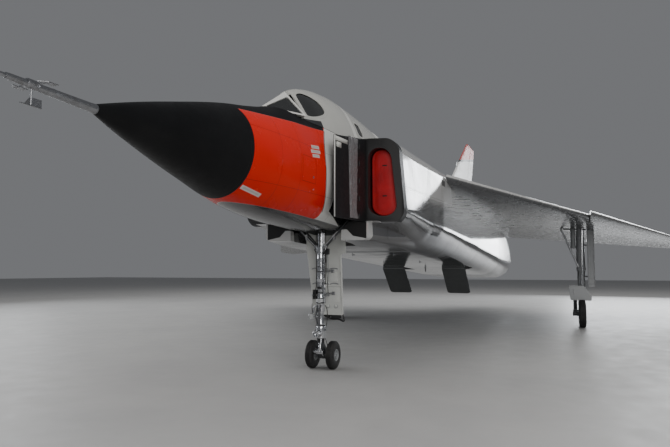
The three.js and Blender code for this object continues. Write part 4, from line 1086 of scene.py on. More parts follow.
inner = SC + np.array([-60, -50, -40])
screen = cut(wedge(SA, SB, SC), wedge(SA + [-75, 0, -30], SB + [-60, 0, -75], inner))
hole = pane_prism(0.0, -90, 60, 0.08)
cut(screen, mirrored(hole), hole)
place(screen, "windscreen_frame_v", "airframe", M["white"], ["windscreen_frame"], 20)
pane = pane_prism(0.006, -24, -12, 0.08)
place(mirrored(pane), "windscreen_glass_right", "airframe", M["glass"], ["windscreen_pane_right"], 20)
place(pane, "windscreen_glass_left", "airframe", M["glass"], ["windscreen_pane_left"], 20)

# =====================================================================
# centre and aft fuselage
# =====================================================================
CENTRE = [
    [5960, 2232, 3502, 190, 200, 1282], [5300, 2168, 3494, 220, 290, 1312], [4600, 2010, 3467, 240, 430, 1348],
    [3900, 1872, 3440, 250, 520, 1390], [3085, 1818, 3400, 230, 560, 1436], [1500, 1731, 3340, 150, 570, 1450],
    [-1000, 1601, 3235, 120, 570, 1450], [-3500, 1471, 3100, 110, 570, 1450], [-5200, 1383, 2990, 110, 560, 1450]]
AFT = [
    [-5200, 1383, 2990, 110, 560, 1450], [-7000, 1302, 2880, 180, 580, 1430], [-8600, 1256, 2765, 330, 620, 1385],
    [-9800, 1240, 2655, 500, 640, 1330], [-10700, 1246, 2560, 600, 640, 1270]]
KEEL = [[5900, 1960, 2500, 60, 90, 810], [5300, 1929, 2500, 60, 120, 950], [4600, 1893, 2500, 60, 200, 1090], [3860, 1856, 2500, 60, 300, 1200]]
COWL_X, AFT_X = 5656, -5200


def leaned(ring, y_fix, k, z_fix):
    """the outer side of each cowl leans out towards its foot, less and less aft"""
    out = []
    for x, y, z in ring:
        k_x = k * min(1.0, max(0.0, (x - 3900) / 1400))
        out.append((x, y if y_fix and y < y_fix else y_fix + (y - y_fix) * (1 + k_x * (z_fix - z)), z))
    return out


def body_box(table, xs, grow=0.0):
    rows = smooth(table, xs)
    return loft([leaned(round_box(x, -w, w, b, t, rt, rb, grow), 0, 6.4e-5, 2850) for x, (b, t, rt, rb, w) in zip(xs, rows)])


def trough():
    return loft([[(x, -w, 2600), (x, -w + 60, 1500), (x, w - 60, 1500), (x, w, 2600)] for x, w in ((6600, 470), (5330, 430), (4980, 360))])


def centre_solid():
    keel = cut(body_box(KEEL, stations(5900, 3860, 60)), trough())
    return join(body_box(CENTRE, stations(5960, AFT_X, 60)), keel)


lip = cut(slab_z([(COWL_X, 1600), (COWL_X, 1290), (COWL_X + 110, 800), (COWL_X + 110, 0), (7000, 0), (7000, 1600)], 1500, 4500), box(5000, 7000, -1000, 1000, 1500, 2232))
lip_r = mirrored(lip)
CHANNEL = [[6400, 78], [5500, 72], [5000, 40], [4700, FIT], [3500, FIT]]
chan_xs = stations(6500, 3640, 60)
chan_gap = np.interp(chan_xs[::-1], [3500, 4700, 5000, 5500, 6400], [FIT, FIT, 40, 72, 78])[::-1]
channel = loft(oval_rings(LINES, chan_xs, chan_gap, 112))
DUCT = [[6100, 766, 1182, 2322, 3350, 165, 180], [5640, 807, 1182, 2322, 3350, 165, 180], [5450, 808, 1182, 2322, 3350, 165, 180], [4500, 794, 1215, 2240, 3296, 195, 200], [3100, 760, 1290, 2150, 3110, 215, 215]]
duct_xs = stations(6100, 3100, 60)
duct_rows = smooth(DUCT, duct_xs)
duct = loft([leaned(round_box(x, y0, y1, z0, z1, rt, rb), 808, 2.77e-4, 2840) for x, (y0, y1, z0, z1, rt, rb) in zip(duct_xs, duct_rows)])
duct_r = mirrored(duct)
BRAKE = dict(x=-1090, z=1642, y=785, half=300, length=1085, thick=48, open=37.1)


def brake_recess(s):
    y0, y1 = sorted((s * (BRAKE["y"] - BRAKE["half"] - 12), s * (BRAKE["y"] + BRAKE["half"] + 12)))
    bx, bz, L = BRAKE["x"], BRAKE["z"], BRAKE["length"]
    return slab_y([(bx + 75, 1300), (bx + 75, bz + 30), (bx - L - 20, bz - 30), (bx - L - 20, 1300)], y0, y1)


pack = meet(centre_solid(), pack_slab(0))
place(pack, "weapons_pack_shell", "airframe", M["pack"], ["weapons_pack"], 30)
centre = cut(centre_solid(), lip, lip_r, channel, duct, duct_r, pack_slab(FIT), brake_recess(1), brake_recess(-1))
meet(centre, box(AFT_X + FIT, 7000, -2000, 2000, 0, 5000))
inward = lambda c, n: (n[:, 1] * (np.abs(c[:, 1]) - 1000) * np.sign(c[:, 1]) + n[:, 2] * (c[:, 2] - 2840) < 0)
paint(centre, 1, lambda c, n: (n[:, 0] > 0.7) & (c[:, 0] > 5600) & (c[:, 2] > 2225))
paint(centre, 1, lambda c, n: (c[:, 0] > 5250) & (np.abs(c[:, 1]) < 730) & (c[:, 2] > 2225) & (c[:, 2] < 3440) & (n[:, 1] * c[:, 1] < 0))
paint(centre, 1, lambda c, n: (n[:, 0] > 0.8) & (c[:, 0] > 5850) & (c[:, 2] < 2300))
paint(centre, 1, lambda c, n: (c[:, 0] > 5640) & (c[:, 2] > 2150) & (c[:, 2] < 2240) & (np.abs(c[:, 1]) < 830))
paint(centre, 2, lambda c, n: (c[:, 0] < 5656) & (c[:, 0] > 3099) & (np.abs(c[:, 1]) > 745) & (np.abs(c[:, 1]) < 1300) & (c[:, 2] > 2140) & (c[:, 2] < 3352) & inward(c, n))
paint(centre, 3, lambda c, n: (c[:, 0] < -1000) & (c[:, 0] > -2210) & (np.abs(c[:, 1]) > 472) & (np.abs(c[:, 1]) < 1098) & (c[:, 2] < 1680) & (n[:, 2] < 0.3) & ((np.abs(n[:, 1]) > 0.9) | (np.abs(n[:, 0]) > 0.9) | (c[:, 2] > 1600)))
place(centre, "centre_fuselage_skin", "airframe", [M["centre"], M["lip"], M["duct"], M["primer"]], ["centre_fuselage"], 30)


def axis_z(x):
    return 2165 + (x + 5400) * 0.05


EY, ER, TUN = 655, 520, 548
aft = body_box(AFT, stations(AFT_X, -10700, 80))
cut(aft, *[mesh_obj(*turned_data((-5390, s * EY, axis_z(-5390)), (-1, 0, -0.05), [(0, TUN), (5520, TUN)], 72)) for s in (1, -1)])
meet(aft, box(-12000, AFT_X - FIT, -2000, 2000, 0, 5000))
paint(aft, 1, lambda c, n: (n[:, 1] * (np.abs(c[:, 1]) - 655) * np.sign(c[:, 1]) + n[:, 2] * (c[:, 2] - axis_z(c[:, 0])) < -50) & (np.hypot(np.abs(c[:, 1]) - 655, c[:, 2] - axis_z(c[:, 0])) < 560))
place(aft, "aft_fuselage_skin", "airframe", [M["aft"], M["burnt"]], ["aft_fuselage"], 30)

SPINE = [[3650, 620, 4160, 2785], [2400, 555, 4085, 2900], [800, 470, 3985, 2900], [-1500, 400, 3815, 2800], [-4000, 350, 3600, 2700], [-7000, 310, 3345, 2600], [-8900, 300, 3185, 2480], [-10200, 280, 2960, 2300]]


def spine_rings(xs, grow=0.0, n=88):
    rows = smooth(SPINE, xs)
    a = 2 * math.pi * (np.arange(n) + 0.5) / n
    c, s = np.cos(a), np.sin(a)
    out = []
    for x, (w, t, b) in zip(xs, rows):
        k = min(1.0, (3650 - x) / 4000)
        e = np.where(s > 0, 1.9 + 0.5 * k, 2.4)
        h = np.where(s > 0, t - b - 100, 100) + grow
        out.append(np.stack([np.full(n, x), np.sign(c) * np.abs(c) ** (2 / e) * (w + grow), b + 100 + np.sign(s) * np.abs(s) ** (2 / e) * h], 1))
    return out


def spine_solid(grow=0.0):
    return loft(spine_rings(stations(3650, -10200, 80), grow))


def hull_copy(grow):
    return body_box(CENTRE, stations(5960, AFT_X, 80), grow)


def aft_copy(grow):
    return body_box(AFT, stations(AFT_X + 1, -10700, 80), grow)


spine = cut(spine_solid(), hull_copy(FIT), aft_copy(FIT))
meet(spine, box(-9300, 3650 - FIT, -900, 900, 0, 5000))
place(spine, "dorsal_spine_skin", "airframe", M["spine"], ["dorsal_spine"], 30)

TAIL = [[-9300, 296, 3134, 2420, 0, 0], [-10200, 268, 2960, 2150, 0, 0], [-10900, 180, 2790, 2080, 0, 0], [-11500, 100, 2600, 2080, 0, 0], [-11855, 50, 2430, 2130, 0, 0]]
tail_xs = np.concatenate([[-9300 - FIT], stations(-9340, -11855, 60)])
tail_rows = smooth(TAIL, tail_xs)
a = 2 * math.pi * (np.arange(64) + 0.5) / 64
tail_rings = [np.stack([np.full(64, x), np.sign(np.cos(a)) * np.abs(np.cos(a)) ** (2 / 2.2) * w, (t + b) / 2 + np.sign(np.sin(a)) * np.abs(np.sin(a)) ** (2 / 2.2) * (t - b) / 2], 1) for x, (w, t, b, _, _) in zip(tail_xs, tail_rows)]
tail = cut(loft(tail_rings), aft_copy(FIT), *[mesh_obj(*turned_data((-9000, s * EY, axis_z(-9000)), (-1, 0, -0.05), [(0, 560), (2710, 560)], 72)) for s in (1, -1)])
place(tail, "tail_cone_shell", "airframe", M["spine"], ["tail_cone"], 30)

# ---------- wings ----------
SEMI = 7620
ANH = math.tan(math.radians(4.06))


def wing_le(y): return 5751 + (-8265 - 5751) * y / SEMI
def wing_te(y): return -7965 + (-9480 + 7965) * y / SEMI
def wing_z(x, y): return 3270 - 0.05 * (3085 - x) - ANH * (y - 1450)
def profile(s, tc): return 5 * tc * (0.2969 * np.sqrt(s) - 0.126 * s - 0.3516 * s ** 2 + 0.2843 * s ** 3 - 0.1036 * s ** 4)


STEPS = np.concatenate([[0, 0.0015, 0.006, 0.014, 0.028], 0.05 + 0.95 * np.linspace(0, 1, 26)])


def wing_ring(y, le, te, tc):
    c = le - te
    x = le - STEPS * c
    h = np.maximum(profile(STEPS, tc) * c, np.where(STEPS == 0, 0, 5))
    z = wing_z(x, y)
    top = np.stack([x, np.full_like(x, y), z + h], 1)
    low = np.stack([x, np.full_like(x, y), z - h], 1)[1:][::-1]
    return np.concatenate([top, low])


DOG, TIP_TC, ROOT_TC = 4040, 0.038, 0.036


def out_le(y): return wing_le(y) + 0.09 * (wing_le(y) - wing_te(y))


def wing_solid():
    inner_w = loft([wing_ring(y, wing_le(y), wing_te(y), ROOT_TC) for y in stations(1450 + FIT, DOG, 130)])
    ys = list(stations(DOG - 1, SEMI - 60, 180))
    rings = [wing_ring(y, out_le(y), wing_te(y), TIP_TC) for y in ys]
    for k in (0.35, 0.7, 0.9, 1.0):
        y = SEMI - 60 + 60 * k
        rings.append(wing_ring(y, out_le(y) - 120 * k ** 2, wing_te(y) + 60 * k ** 2, TIP_TC + (0.02 - TIP_TC) * k ** 2))
    return join(inner_w, loft(rings))


SURF = {"elevator": (1475, 4020, 1760, 1560), "aileron": (4065, 7200, 1120, 860)}
COVE = 14


def nose_radius(y, x):
    o = y > DOG
    le = out_le(y) if o else wing_le(y)
    c = le - wing_te(y)
    return float(profile(np.array((le - x) / c), TIP_TC if o else ROOT_TC) * c)


def hinge_point(s, y):
    y0, y1, c0, c1 = s
    x = wing_te(y) + c0 + (c1 - c0) * (y - y0) / (y1 - y0)
    return np.array([x, y, wing_z(x, y)])


def surf_region(s, g):
    y0, y1 = s[0] - g, s[1] + g
    return slab_z([(hinge_point(s, y0)[0] + g, y0), (hinge_point(s, y1)[0] + g, y1), (-12000, y1), (-12000, y0)], 1000, 4500)


def surf_nose(s, g, end):
    a_, b_ = hinge_point(s, s[0] - end), hinge_point(s, s[1] + end)
    r0, r1 = nose_radius(s[0], hinge_point(s, s[0])[0]) * 0.985 + g, nose_radius(s[1], hinge_point(s, s[1])[0]) * 0.985 + g
    L = np.linalg.norm(b_ - a_)
    return mesh_obj(*turned_data(a_, b_ - a_, [(0, r0), (L, r1)], 40))


wing = wing_solid()
for name, s in SURF.items():
    piece = meet(wing_solid(), surf_region(s, 0))
    join(piece, meet(surf_nose(s, 0, 0), box(-12000, 5000, s[0], s[1], 0, 5000)))
    cut(wing, surf_region(s, COVE), surf_nose(s, COVE, COVE))
    other = mirrored(piece)
    place(piece, f"{name}_left_skin", f"{name}_left", M["wing"], [f"{name}_left"], 24)
    place(other, f"{name}_right_skin", f"{name}_right", M["wing"], [f"{name}_right"], 24)
MX, MY = -3575, 3880
cut(wing, slab_z([(MX + 170, 3380), (MX + 170, 3960), (MX - 170, 3960), (MX - 170, 3380)], 1800, 2765))
place(mirrored(wing), "wing_right_skin", "airframe", M["wing"], ["wing_right"], 24)
place(wing, "wing_left_skin", "airframe", M["wing"], ["wing_left"], 24)

# ---------- fin and rudder ----------
FIN_TOP = 6250


def fin_le(z): return -3055 - 1.8 * (z - 3300)
def fin_te(z): return -8505 - 0.522 * (z - 3300)


def fin_ring(z, le, te, tc):
    c = le - te
    x = le - STEPS * c
    h = np.maximum(profile(STEPS, tc) * c, np.where(STEPS == 0, 0, 5))
    zz = np.full_like(x, z)
    return np.concatenate([np.stack([x, h, zz], 1), np.stack([x, -h, zz], 1)[1:][::-1]])


def fin_solid():
    rings = [fin_ring(z, fin_le(z), fin_te(z), 0.04) for z in stations(2900, 6190, 220)]
    for k in (0.35, 0.7, 0.9, 1.0):
        z = 6190 + 60 * k
        rings.append(fin_ring(z, fin_le(z) - 120 * k ** 2, fin_te(z) + 60 * k ** 2, 0.04 - 0.02 * k ** 2))
    return loft(rings)


RUD = (3450, 6010, 1450, 960, 62, 42)


def rud_hinge(z):
    k = (z - RUD[0]) / (RUD[1] - RUD[0])
    return np.array([fin_te(z) + RUD[2] + (RUD[3] - RUD[2]) * k, 0, z])


def rud_region(g):
    z0, z1 = RUD[0] - g, RUD[1] + g
    return slab_y([(rud_hinge(z0)[0] + g, z0), (rud_hinge(z1)[0] + g, z1), (-12500, z1), (-12500, z0)], -600, 600)


def rud_nose(g, e):
    a_, b_ = rud_hinge(RUD[0] - e), rud_hinge(RUD[1] + e)
    return mesh_obj(*turned_data(a_, b_ - a_, [(0, RUD[4] + g), (np.linalg.norm(b_ - a_), RUD[5] + g)], 40))


rudder = join(meet(fin_solid(), rud_region(0)), meet(rud_nose(0, 0), box(-12000, 0, -500, 500, RUD[0], RUD[1])))
place(rudder, "rudder_skin", "rudder", M["fin"], ["rudder"], 24)
fin = cut(fin_solid(), rud_region(COVE), rud_nose(COVE, COVE), spine_solid(FIT), hull_copy(FIT), aft_copy(FIT))
place(fin, "fin_skin", "airframe", M["fin"], ["fin"], 24)

# =====================================================================
# engines, nozzles and intakes
# =====================================================================


def place_data(data, origin, ex, ey, ez):
    v, f = data
    v = np.asarray(v, float)
    w = np.asarray(origin, float) + v[:, :1] * np.asarray(ex, float) + v[:, 1:2] * np.asarray(ey, float) + v[:, 2:3] * np.asarray(ez, float)
    return w, outward(w, f)


def rbox_data(x0, x1, y0, y1, z0, z1, r=8, seg=3):
    """box with rounded edges"""
    r = min(r, (x1 - x0) / 2.1, (y1 - y0) / 2.1, (z1 - z0) / 2.1)
    return loft_data([round_box(x, y0 + i, y1 - i, z0 + i, z1 - i, r - i * 0.95, r - i * 0.95, 0, seg) for x, i in ((x0, r * 0.8), (x0 + r * 0.25, r * 0.3), (x0 + r, 0), (x1 - r, 0), (x1 - r * 0.25, r * 0.3), (x1, r * 0.8))])


def ribbon_data(points, width, thick, across=(0, 1, 0)):
    """flat strap along points"""
    P = np.asarray(points, float)
    T = np.gradient(P, axis=0)
    T /= np.linalg.norm(T, axis=1)[:, None]
    A = np.asarray(across, float)
    rings = []
    for p, t in zip(P, T):
        n = np.cross(t, A)
        n /= np.linalg.norm(n)
        a_ = A * width / 2
        rings.append([p - a_, p + a_, p + a_ + n * thick, p - a_ + n * thick])
    return loft_data(rings)


def pad_data(L, W, H, channels=(), n=56, m=36, pull=0.035):
    """crowned cushion centred on the origin, with sewn channels across its length"""
    rings = []
    a_ = 2 * math.pi * (np.arange(m) + 0.5) / m
    for t in np.sin(np.linspace(-math.pi / 2, math.pi / 2, n)) * 0.999:
        end = (1 - abs(t) ** 7) ** (1 / 3.2)
        w = W / 2 * (0.30 + 0.70 * end) * (1 - pull * (1 - t * t))
        h = H / 2 * end
        for c in channels:
            h *= 1 - 0.30 * math.exp(-((t - c) / 0.035) ** 2)
        y = np.sign(np.cos(a_)) * np.abs(np.cos(a_)) ** 0.42 * w
        z = np.sign(np.sin(a_)) * np.abs(np.sin(a_)) ** 0.75 * h
        rings.append(np.stack([np.full(m, t * L / 2), y, z], 1))
    return loft_data(rings)


DIR = (-1, 0, -0.05)
for side, s in (("left", 1), ("right", -1)):
    at = lambda x: (x, s * EY, axis_z(x))
    case = turned_data(at(-5450), DIR, [(0, 380), (20, 470), (120, 518), (1180, 520), (1190, 512), (1230, 512), (1240, 520), (4700, 520), (4840, 514), (4850, 505), (4850, 482), (4700, 470), (3950, 462)], 64)
    inside = [turned_data(at(-5450), DIR, [(3935, 250), (3960, 250), (4150, 215), (4400, 120), (4520, 14)], 40)]
    for r in (330, 405):
        inside.append(turned_data(at(-5450), DIR, [(4240, r), (4300, r + 24), (4300, r + 18), (4254, r), (4300, r - 18), (4300, r - 24)], 48, closed=True))
    for k in range(12):
        t = k * math.pi / 6
        c_, s_ = math.cos(t), math.sin(t)
        inside.append(bar_data((-5450 - 4262, s * EY + c_ * 215, axis_z(-9712) + s_ * 215), (-5450 - 4262, s * EY + c_ * 466, axis_z(-9712) + s_ * 466), 9, seg=8))
    for k in range(48):
        t = k * math.pi / 24
        c_, s_ = math.cos(t), math.sin(t)
        inside.append(bar_data((-9402, s * EY + c_ * 245, axis_z(-9402) + s_ * 245), (-9420, s * EY + c_ * 468, axis_z(-9402) + s_ * 468), 10, seg=6))
    grouped([case] + inside, f"engine_{side}_body", "airframe", M["burnt"], [f"engine_{side}"], 34)
    # nozzle: collar, inner liner and two rows of petals
    noz = [
        turned_data(at(-10320), DIR, [(0, 528), (14, 530), (396, 530), (408, 522), (408, 452), (100, 440), (0, 500)], 72, closed=True),
        turned_data(at(-10320), DIR, [(100, 441), (780, 431), (1236, 458), (1236, 470), (780, 444), (120, 452)], 72, closed=True)]
    for k in range(24):
        over = k % 2 == 0
        half_a = math.radians(8.4 if over else 7.6)
        drop_ = 0 if over else 9
        rings = []
        for d, r in ((400, 532), (800, 543), (830, 545), (1000, 529), (1180, 508), (1236 if over else 1222, 500)):
            arc = np.linspace(-half_a, half_a, 7) + math.radians(15 * k)
            base = np.array(at(-10320)) + np.array(DIR) / math.hypot(1, 0.05) * d
            _, u_, v_ = frame_of(DIR)
            R0, R1 = r - drop_, r - drop_ - (15 if d < 1200 else 26)
            outer_arc = [base + R0 * (math.cos(q) * u_ + math.sin(q) * v_) for q in arc]
            inner_arc = [base + R1 * (math.cos(q) * u_ + math.sin(q) * v_) for q in arc[::-1]]
            rings.append(outer_arc + inner_arc)
        noz.append(loft_data(rings))
    for k in range(48):
        q = math.radians(7.5 * k + 3.75)
        base = np.array(at(-10320)) + np.array(DIR) / math.hypot(1, 0.05) * 360
        _, u_, v_ = frame_of(DIR)
        n_ = math.cos(q) * u_ + math.sin(q) * v_
        noz.append(bolt_data(base + n_ * 530, n_, 8, 6))
    grouped(noz, f"nozzle_{side}_petals", "airframe", M["burnt"], [f"nozzle_{side}"], 26)
    # first compressor stage at the end of the intake duct
    fan = [turned_data((3102, s * 1025, 2630), (1, 0, 0), [(0, 236), (30, 240), (30, 120), (70, 96), (150, 52), (190, 12)], 40)]
    for k in range(22):
        t = 2 * math.pi * k / 22
        c_, s_ = math.cos(t), math.sin(t)
        fan.append(place_data(box_data(-3, 3, -26, 26, 90, 262), (3150, s * 1025, 2630), (c_ * 0 + 0.75, -s_ * 0.66, c_ * 0.66), (-0.66, -s_ * 0.75, c_ * 0.75), (0, c_, s_)))
    grouped(fan, f"fan_{side}", "airframe", M["steel"], (), 30)

RF, RA, RZ0, RZ1, RZ2 = 6800, 5768, 2233, 3362, 3484


def ramp_top(x):
    return RZ1 + (RF - x) / (RF - RA) * (RZ2 - RZ1)


def ramp_at(x, z, off=0.0):
    """point on the outer face of the port ramp, off millimetres out of it"""
    return np.array([x + off * 0.1136, 660 + (RF - x) / (RF - RA) * 118 + off * 0.9935, z])


rp = [(6800, 652), (6800, 660), (6790, 662), (5778, 777), (5768, 776), (5768, 702), (5776, 700), (6600, 664)]
plate_r = loft_data([[(x, y, RZ0) for x, y in rp], [(x, y, ramp_top(x)) for x, y in rp]])
ramp_parts = [plate_r]
for z in (2775,):
    ramp_parts.append(rbox_data(5788, 6500, 560, 690, z - 35, z + 35, 10))
edge_strip = loft_data([[ramp_at(x, z, o) for x, z, o in ((6799, zz, -6), (6799, zz, 2), (6764, zz, 2), (6764, zz, -6))] for zz in (RZ0 + 2, RZ1 - 2)])
hinges = []
for z in (2300, 2560, 2820, 3080, 3330):
    hinges.append(bar_data(ramp_at(6020, z - 34, 2), ramp_at(6020, z + 34, 2), 7, seg=10))
for k in range(26):
    z = 2262 + k * 42
    if z < ramp_top(6000) - 20:
        hinges.append(bolt_data(ramp_at(5800, z, 0.5), (0.11, 0.99, 0), 5.5, 3))
        hinges.append(bolt_data(ramp_at(6730, min(z, ramp_top(6730) - 14), 0.5), (0.11, 0.99, 0), 4.5, 2.5))
rng = np.random.default_rng(7)
nv, nu = 170, 22
coarse = rng.normal(0, 1, (40, 8))
fine = rng.normal(0, 1, (90, 16))


def grid_value(G, v, u):
    a_, b_ = v * (G.shape[0] - 1), u * (G.shape[1] - 1)
    i, j = min(int(a_), G.shape[0] - 2), min(int(b_), G.shape[1] - 2)
    p, q = a_ - i, b_ - j
    return (G[i, j] * (1 - p) * (1 - q) + G[i + 1, j] * p * (1 - q) + G[i, j + 1] * (1 - p) * q + G[i + 1, j + 1] * p * q)


foil_rings = []
for iv in range(nv):
    v = iv / (nv - 1)
    z = 2258 + v * (ramp_top(6205) - 2258 - 6)
    flare = 34 * math.exp(-((z - 2258) / 60) ** 2) + 8 * grid_value(coarse, v, 0.2)
    x_a, x_b = 6322 + 52 * v, 6112 - 46 * v - 56 * math.exp(-((z - 2290) / 55) ** 2)
    ring = []
    for iu in range(nu):
        u_ = iu / (nu - 1)
        h = 7 + 3.2 * grid_value(coarse, v, u_) + 1.5 * grid_value(fine, v, u_) + 9 * math.exp(-((u_ - 0.18) / 0.05) ** 2) * (0.5 + 0.3 * grid_value(coarse, v, 0.5)) - 5 * (abs(2 * u_ - 1) ** 12)
        ring.append(ramp_at(x_a + (x_b - x_a) * u_, z, max(h, 1.2)))
    ring += [ramp_at(x_b, z, -0.5), ramp_at(x_a, z, -0.5)]
    foil_rings.append(ring)
foil = loft_data(foil_rings)
tags = [loft_data([[ramp_at(x, z, o) for x, z in ((xa, za), (xb, za), (xb, zb), (xa, zb))] for o in (0.2, 2.0)]) for xa, xb, za, zb in ((6786, 6400, 3292, 3352), (6735, 6590, 3205, 3280))]
for side, fn in (("left", lambda d: d), ("right", flip_y)):
    grouped([fn(d) for d in ramp_parts], f"ramp_{side}_plate", "airframe", M["ramp"], [f"intake_ramp_{side}"], 30)
    grouped([fn(edge_strip)], f"ramp_{side}_edge", "airframe", M["white"], (), 30)
    grouped([fn(d) for d in hinges], f"ramp_{side}_fasteners", "airframe", M["black"], (), 30)
    grouped([fn(foil)], f"ramp_{side}_foil", "airframe", M["foil"], (), 50)
    grouped([fn(d) for d in tags], f"ramp_{side}_plates", "airframe", M["label"], (), 30)


def cover_ring(x, g):
    return leaned(round_box(x, 808 + g, 1182 - g, 2322 + g, 3350 - g, max(165 - g, 20), max(180 - g, 20)), 808, 2.77e-4, 2840)


cover = loft_data([cover_ring(x, g) for x, g in ((5560, 16), (5563, 9), (5570, 7), (5606, 7), (5614, 10), (5619, 18), (5622, 34), (5621, 44), (5623, 60), (5627, 84), (5629, 110), (5630, 140))])
cover_slots = [rbox_data(5622, 5631.5, 985, 1058, z - 11, z + 11, 5) for z in (3095, 2632)]
cover_trim = [turned_data((5629, 1000, 3095), (0, 0, 1), [(-2, 3), (2, 3)], 8)]
seam_ring = []
for g in (22,):
    a_, b_ = cover_ring(5621, g), cover_ring(5621, g + 3)
    path = np.array([((p[0] + 0.6), (p[1] + q[1]) / 2, (p[2] + q[2]) / 2) for p, q in zip(a_, b_)])
    path = np.concatenate([path, path[:1]])
    for i in range(0, len(path) - 1):
        if np.linalg.norm(path[i + 1] - path[i]) > 3:
            seam_ring.append(bar_data(path[i], path[i + 1], 2.2, seg=6))
for side, fn in (("left", lambda d: d), ("right", flip_y)):
    grouped([fn(cover)], f"cover_{side}_shell", f"intake_cover_{side}", M["cover"], [f"intake_cover_{side}"], 38)
    grouped([fn(d) for d in cover_slots], f"cover_{side}_slots", f"intake_cover_{side}", M["black"], (), 30)
    grouped([fn(d) for d in seam_ring], f"cover_{side}_seam", f"intake_cover_{side}", M["cover"], (), 60)

# =====================================================================
# cockpits
# =====================================================================


def dial(P, n, r, hand):
    """instrument on a panel: bezel, face, hand"""
    n, u_, v_ = frame_of(n)
    out_b = turned_data(P, n, [(0, r), (7, r), (9, r - 2), (9, r - 5), (4, r - 6), (0, r - 6)], 26, closed=True)
    face = turned_data(P, n, [(0, r - 4), (4.5, r - 4)], 26)
    marks = []
    for k in range(10):
        t = 2 * math.pi * k / 10
        d_ = math.cos(t) * u_ + math.sin(t) * v_
        marks.append(bar_data(P + n * 4.6 + d_ * (r - 12), P + n * 4.6 + d_ * (r - 7), 0.9, seg=4))
    d_ = math.cos(hand) * u_ + math.sin(hand) * v_
    marks.append(bar_data(P + n * 5.4 - d_ * 5, P + n * 5.4 + d_ * (r - 13), 1.3, seg=5))
    return out_b, face, marks


